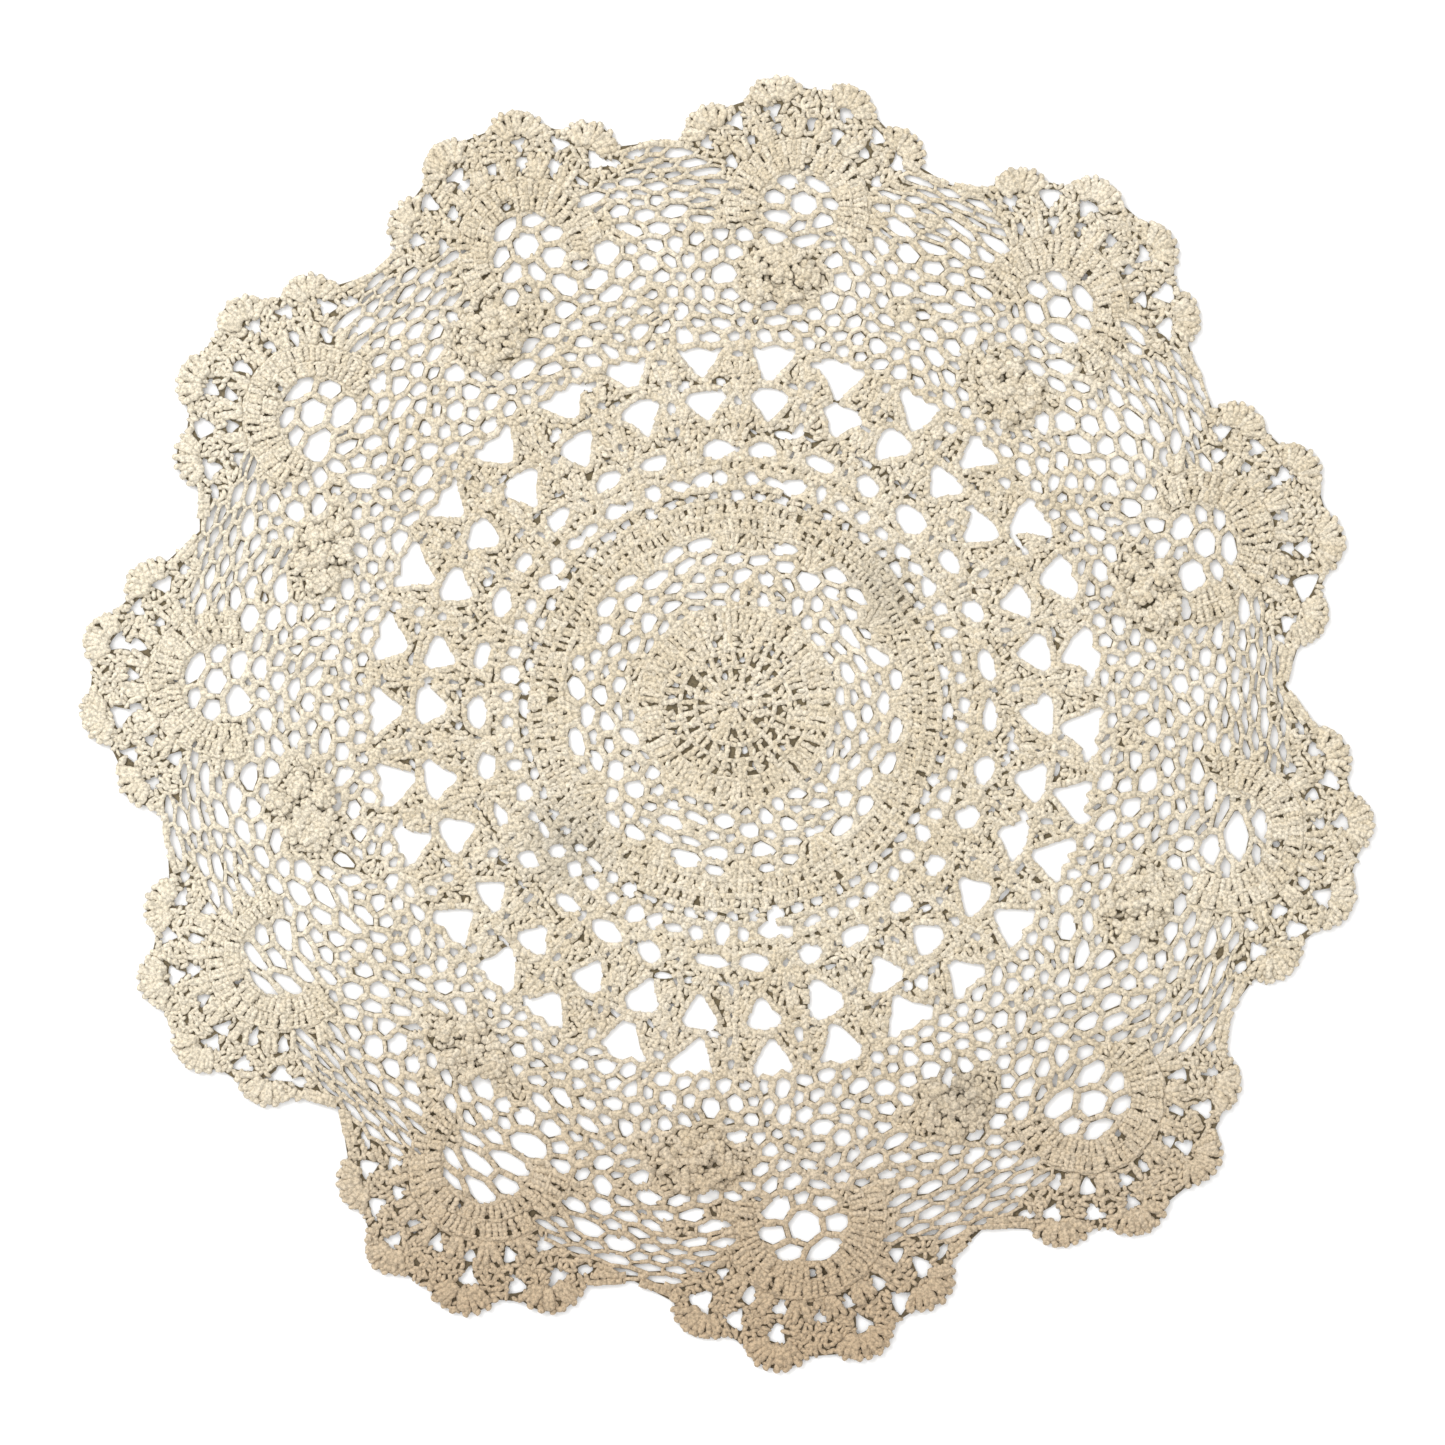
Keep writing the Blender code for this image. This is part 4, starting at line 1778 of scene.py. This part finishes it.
@dataclass(frozen=True)
class Ground:
    """The thin flat layer of thread that every stitch is worked into, with all its gaps."""

    name: str = "doily_ground"
    thick: float = 0.4 * MM
    below_middle: float = 0.7 * MM
    drape_half: float = 210.0 * MM
    drape_step: float = 7.0 * MM

    def fill(self, work: Work, edge: Array) -> tuple[Array, list[list[int]]]:
        """Fill the edge with triangles and leave out every gap.

        Args:
            work: The laid-out work.
            edge: The doily's edge.

        Returns:
            Points in the plane, and the triangles' corners.
        """
        points, loops = [], []
        for loop in [edge] + work.cuts:
            ordered = anticlockwise(loop)
            loops.append(list(range(len(points), len(points) + len(ordered))))
            points.extend(Vector(point) for point in ordered)
        line = np.arange(-self.drape_half, self.drape_half, self.drape_step)
        grid = np.stack(np.meshgrid(line, line), -1).reshape(-1, 2)
        points.extend(Vector(point) for point in grid[~work.canvas.open[work.canvas.cell(grid)]])
        filled = delaunay_2d_cdt(points, [], loops, 1, SAME_POINT, True)
        flat = np.array([point[:] for point in filled[0]])
        return flat, [face for face, origins in zip(filled[2], filled[5]) if list(origins) == [0]]

    def build(self, work: Work, edge: Array) -> tuple[bpy.types.Object, float]:
        """Drape the filled edge and give it its thickness.

        Args:
            work: The laid-out work.
            edge: The doily's edge.

        Returns:
            The ground, and the flat area of its thread in square metres.
        """
        flat, faces = self.fill(work, edge)
        height = MID_HEIGHT - self.below_middle + LIE.wave(flat)
        layer = bmesh.new()
        corners = [layer.verts.new((x, y, z)) for (x, y), z in zip(flat, height)]
        for face in faces:
            layer.faces.new([corners[index] for index in face])
        for corner in [corner for corner in layer.verts if not corner.link_faces]:
            layer.verts.remove(corner)
        area = sum(face.calc_area() for face in layer.faces)
        grown = bmesh.ops.extrude_face_region(layer, geom=layer.faces[:], use_keep_orig=True)
        lifted = [item for item in grown["geom"] if isinstance(item, bmesh.types.BMVert)]
        bmesh.ops.translate(layer, vec=(0.0, 0.0, self.thick), verts=lifted)
        bmesh.ops.recalc_face_normals(layer, faces=layer.faces[:])
        mesh = bpy.data.meshes.new(self.name)
        layer.to_mesh(mesh)
        layer.free()
        piece = bpy.data.objects.new(self.name, mesh)
        bpy.context.scene.collection.objects.link(piece)
        return piece, area


def linear(colour: str) -> tuple[float, float, float, float]:
    """Turn an sRGB hex colour into linear RGBA.

    Args:
        colour: Six hex digits after a hash.

    Returns:
        The linear colour, opaque.
    """
    parts = [int(colour[start:start + 2], 16) / 255.0 for start in (1, 3, 5)]
    red, green, blue = (
        part / 12.92 if part <= 0.04045 else ((part + 0.055) / 1.055) ** 2.4 for part in parts
    )
    return red, green, blue, 1.0


def add_node(
    tree: bpy.types.NodeTree, kind: str, settings: dict, links: dict | None = None
) -> bpy.types.Node:
    """Add a node with its settings and links.

    Args:
        tree: The material's node tree.
        kind: The node's type.
        settings: Values of its properties, by name, and of its inputs, by name or number.
        links: Output sockets of other nodes, by the input that each goes to.

    Returns:
        The node.
    """
    node = tree.nodes.new(kind)
    for key, value in settings.items():
        if isinstance(key, str) and hasattr(node, key):
            setattr(node, key, value)
        else:
            node.inputs[key].default_value = value
    for key, socket in (links or {}).items():
        tree.links.new(socket, node.inputs[key])
    return node


@dataclass(frozen=True)
class GreyPatch:
    """A soft grey patch that darkens the cloth."""

    x_px: float
    y_px: float
    radius: float
    strength: float

    def middle(self) -> tuple[float, float, float]:
        """Where the mark is, in metres."""
        x = (self.x_px - DOILY_MIDDLE_PX[0]) * PIXEL
        return x, (DOILY_MIDDLE_PX[1] - self.y_px) * PIXEL, MID_HEIGHT


GREY_PATCHES = (
    #      x px   y px   radius     strength
    GreyPatch(565.0, 845.0, 22.0 * MM, 0.34),
    GreyPatch(885.0, 585.0, 20.0 * MM, 0.28),
    GreyPatch(960.0, 1090.0, 18.0 * MM, 0.24),
)


@dataclass(frozen=True)
class CrochetCotton:
    """Ecru crochet cotton, hard twisted and soft from washing: pale and matt, with painted shade where the
    threads meet.
    """

    name: str
    # A lighter colour towards -X.
    lighter_left: str
    pale: str
    warm: str
    # Darker and browner towards -Y: partly aged cotton, partly painted shade where the light falls off.
    aged_and_shade: str
    # Painted shade, laid low on each stitch where the threads meet.
    crevice_shade: str
    grey: str = "#8A867C"
    roughness: float = 0.88
    sheen: float = 0.12
    # Thread twists every 0.9 mm and fuzzes at about 0.35 mm, and both are drawn at that size.
    twist: float = 0.9 * MM
    fuzz: float = 0.35 * MM
    fuzz_high: float = 0.2 * MM
    fuzz_strength: float = 0.5
    sheen_soft: float = 0.6
    # Washing and light leave patches about 45 mm across.
    patch: float = 45.0 * MM
    # A stitch's own tone counts this much beside the patches, and together they span this range.
    tone_share: float = 0.45
    tone_span: tuple[float, float] = (0.25, 0.95)
    # Where the cloth turns to another colour: the Y, X or depth it starts at and is full at, and how far.
    # Towards -Y: partly aged cotton, partly painted shade of the light falling off.
    aged_and_shade_from: tuple[float, float, float] = (-0.065, -0.215, 1.0)
    # Lighter towards -X.
    lighter_left_from: tuple[float, float, float] = (-0.09, -0.17, 0.45)
    # Painted shade low on each stitch: the colour turns towards it as the stitch's local height falls.
    crevice_shade_from: tuple[float, float, float] = (0.6, -0.4, 0.75)
    # The twist's noise, and how dark and light the thread is over that range: partly the thread's own
    # grain, partly painted shade and highlights of the twisted thread.
    grain_and_shade: tuple[float, float, float, float] = (0.38, 0.6, 0.63, 1.13)

    def make(self) -> bpy.types.Material:
        """Build the material: toned thread, patches, a lighter left side, a lower half darker and browner
        from age and painted shade, painted shade low on each stitch, and soft grey patches.

        Returns:
            The material.
        """
        material = bpy.data.materials.new(self.name)
        material.use_nodes = True
        tree = material.node_tree
        tree.nodes.clear()
        place = add_node(tree, "ShaderNodeTexCoord", {}).outputs["Object"]
        patches, grain_and_shade, fuzz = (
            add_node(
                tree, "ShaderNodeTexNoise",
                {"Scale": 1.0 / size, "Detail": detail, "Roughness": rough}, {"Vector": place},
            ).outputs["Fac"]
            for size, detail, rough in (
                (self.patch, 3.0, 0.6), (self.twist, 3.0, 0.65), (self.fuzz, 2.0, 0.5),
            )
        )
        tone = add_node(tree, "ShaderNodeAttribute", {"attribute_name": "tone"}).outputs["Fac"]
        both = add_node(
            tree, "ShaderNodeMath", {"operation": "MULTIPLY_ADD", 1: self.tone_share},
            {0: tone, 2: patches},
        )
        span = dict(zip((1, 2, 3, 4), (*self.tone_span, 0.0, 1.0)))
        share = add_node(tree, "ShaderNodeMapRange", span, {0: both.outputs[0]})
        colour = add_node(
            tree, "ShaderNodeMix", {"data_type": "RGBA", 6: linear(self.pale), 7: linear(self.warm)},
            {0: share.outputs[0]},
        ).outputs[2]
        where = add_node(tree, "ShaderNodeSeparateXYZ", {}, {0: place})
        depth = add_node(tree, "ShaderNodeAttribute", {"attribute_name": "depth"}).outputs["Fac"]
        turns = [
            (where.outputs["Y"], "SMOOTHSTEP", *self.aged_and_shade_from, self.aged_and_shade),
            (where.outputs["X"], "SMOOTHSTEP", *self.lighter_left_from, self.lighter_left),
            (depth, "LINEAR", *self.crevice_shade_from, self.crevice_shade),
        ]
        for grey_patch in GREY_PATCHES:
            middle = {"operation": "DISTANCE", 1: grey_patch.middle()}
            away = add_node(tree, "ShaderNodeVectorMath", middle, {0: place}).outputs["Value"]
            turns.append((away, "SMOOTHSTEP", grey_patch.radius, 0.0, grey_patch.strength, self.grey))
        for socket, ramp, start, full, most, towards in turns:
            span = {"interpolation_type": ramp, 1: start, 2: full, 3: 0.0, 4: most}
            share = add_node(tree, "ShaderNodeMapRange", span, {0: socket})
            colour = add_node(
                tree, "ShaderNodeMix", {"data_type": "RGBA", 7: linear(towards)},
                {0: share.outputs[0], 6: colour},
            ).outputs[2]
        span = dict(zip((1, 2, 3, 4), self.grain_and_shade))
        shade = add_node(tree, "ShaderNodeMapRange", span, {0: grain_and_shade})
        shaded = add_node(
            tree, "ShaderNodeVectorMath", {"operation": "SCALE"}, {0: colour, "Scale": shade.outputs[0]}
        )
        bump = add_node(
            tree, "ShaderNodeBump", {"Strength": self.fuzz_strength, "Distance": self.fuzz_high},
            {"Height": fuzz},
        )
        shader = add_node(
            tree, "ShaderNodeBsdfPrincipled",
            {"Roughness": self.roughness, "Sheen Weight": self.sheen, "Sheen Roughness": self.sheen_soft},
            {"Base Color": shaded.outputs[0], "Normal": bump.outputs[0]},
        )
        add_node(tree, "ShaderNodeOutputMaterial", {}, {"Surface": shader.outputs[0]})
        return material


@dataclass(frozen=True)
class StudioFloor:
    """A plain pale matt floor."""

    name: str = "pale_floor"
    side: float = 6.0
    drop: float = 0.05 * MM
    colour: str = "#F9F9F9"
    roughness: float = 0.9

    def build(self) -> None:
        """Lay the floor just under the doily."""
        shape = bmesh.new()
        bmesh.ops.create_grid(shape, x_segments=1, y_segments=1, size=0.5 * self.side)
        bmesh.ops.translate(shape, vec=(0.0, 0.0, -self.drop), verts=shape.verts[:])
        mesh = bpy.data.meshes.new(self.name)
        shape.to_mesh(mesh)
        shape.free()
        material = bpy.data.materials.new(self.name)
        material.use_nodes = True
        shader = material.node_tree.nodes["Principled BSDF"]
        shader.inputs["Base Color"].default_value = linear(self.colour)
        shader.inputs["Roughness"].default_value = self.roughness
        mesh.materials.append(material)
        floor = bpy.data.objects.new(self.name, mesh)
        bpy.context.scene.collection.objects.link(floor)
        floor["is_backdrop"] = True


@dataclass(frozen=True)
class Studio:
    """Soft light from the upper left, an even pale surround, and a camera straight above."""

    camera_height: float = 2.2
    sensor_mm: float = 36.0
    clip: tuple[float, float] = (0.1, 20.0)
    surround: float = 1.15
    key_watts: float = 34.0
    key_place: tuple[float, float, float] = (-1.3, 1.2, 1.7)
    key_side: float = 1.3

    def light(self) -> None:
        """Hang the key light and even out the rest."""
        world = bpy.data.worlds.new("studio")
        world.use_nodes = True
        surround = world.node_tree.nodes["Background"]
        surround.inputs["Color"].default_value = (1.0, 1.0, 1.0, 1.0)
        surround.inputs["Strength"].default_value = self.surround
        bpy.context.scene.world = world
        lamp = bpy.data.lights.new("key", "AREA")
        lamp.shape = "SQUARE"
        lamp.size = self.key_side
        lamp.energy = self.key_watts
        key = bpy.data.objects.new("key", lamp)
        key.location = self.key_place
        key.rotation_euler = (-Vector(self.key_place)).to_track_quat("-Z", "Y").to_euler()
        bpy.context.scene.collection.objects.link(key)
        bpy.context.scene.view_settings.view_transform = "Standard"

    def aim(self) -> None:
        """Put the camera over the photograph's middle, looking straight down."""
        middle = 0.5 * PHOTO_SIDE_PX
        lens = bpy.data.cameras.new("camera")
        lens.sensor_width = self.sensor_mm
        lens.lens = self.sensor_mm * self.camera_height / (PHOTO_SIDE_PX * PIXEL)
        lens.clip_start, lens.clip_end = self.clip
        camera = bpy.data.objects.new("camera", lens)
        camera.location = (
            (middle - DOILY_MIDDLE_PX[0]) * PIXEL,
            (DOILY_MIDDLE_PX[1] - middle) * PIXEL,
            self.camera_height,
        )
        bpy.context.scene.collection.objects.link(camera)
        bpy.context.scene.camera = camera


def main() -> None:
    """Lay out the gaps, work the stitches over them, dress each piece and attach it to the doily's body."""
    logging.basicConfig(level=logging.INFO, format="%(name)s: %(message)s")
    cad_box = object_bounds()
    work = Work(np.random.default_rng(SEED))
    shapes = {stitch: StitchShape.model(stitch) for stitch in Stitch}
    edging = Edging()
    parts = (
        Medallion(), InnerNet(), PostBands(), FanBand(), OuterNet(),
        RoseHeaps(), ScallopArches(), edging, GapRims(), CloseFilling(),
    )
    for part in parts:
        part.mark(work)
    edge = edging.outline()
    work.chart(edge)
    LOG.info("%d gaps", len(work.cuts))

    thread = CrochetCotton(
        "crochet_cotton_face", "#DED6C3", "#DAD1BF", "#CABDA4", "#B09A7D", "#806E50"
    ).make()
    # The ground's cotton is dark all through: painted shade, seen between the stitches and in the uncut
    # slots.
    shaded = CrochetCotton(
        "crochet_cotton_painted_shade", "#83765A", "#7D7153", "#6E6046", "#5E4F36", "#524632"
    ).make()
    for part in parts:
        piece = part.finish(work, shapes)
        piece.data.materials.append(thread)
        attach(piece, BODY)
        LOG.info("%s: %d triangles", piece.name, len(piece.data.polygons))
    ground, area = Ground().build(work, edge)
    ground.data.materials.append(shaded)
    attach(ground, BODY)
    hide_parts(NODE)
    LOG.info("%s: %d faces, %.4f square metres", ground.name, len(ground.data.polygons), area)

    StudioFloor().build()
    studio = Studio()
    studio.light()
    studio.aim()
    boxes = {"cad": cad_box, "visual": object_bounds()}
    {name: [list(corner) for corner in box] for name, box in boxes.items()}


if __name__ == "__main__":
    main()
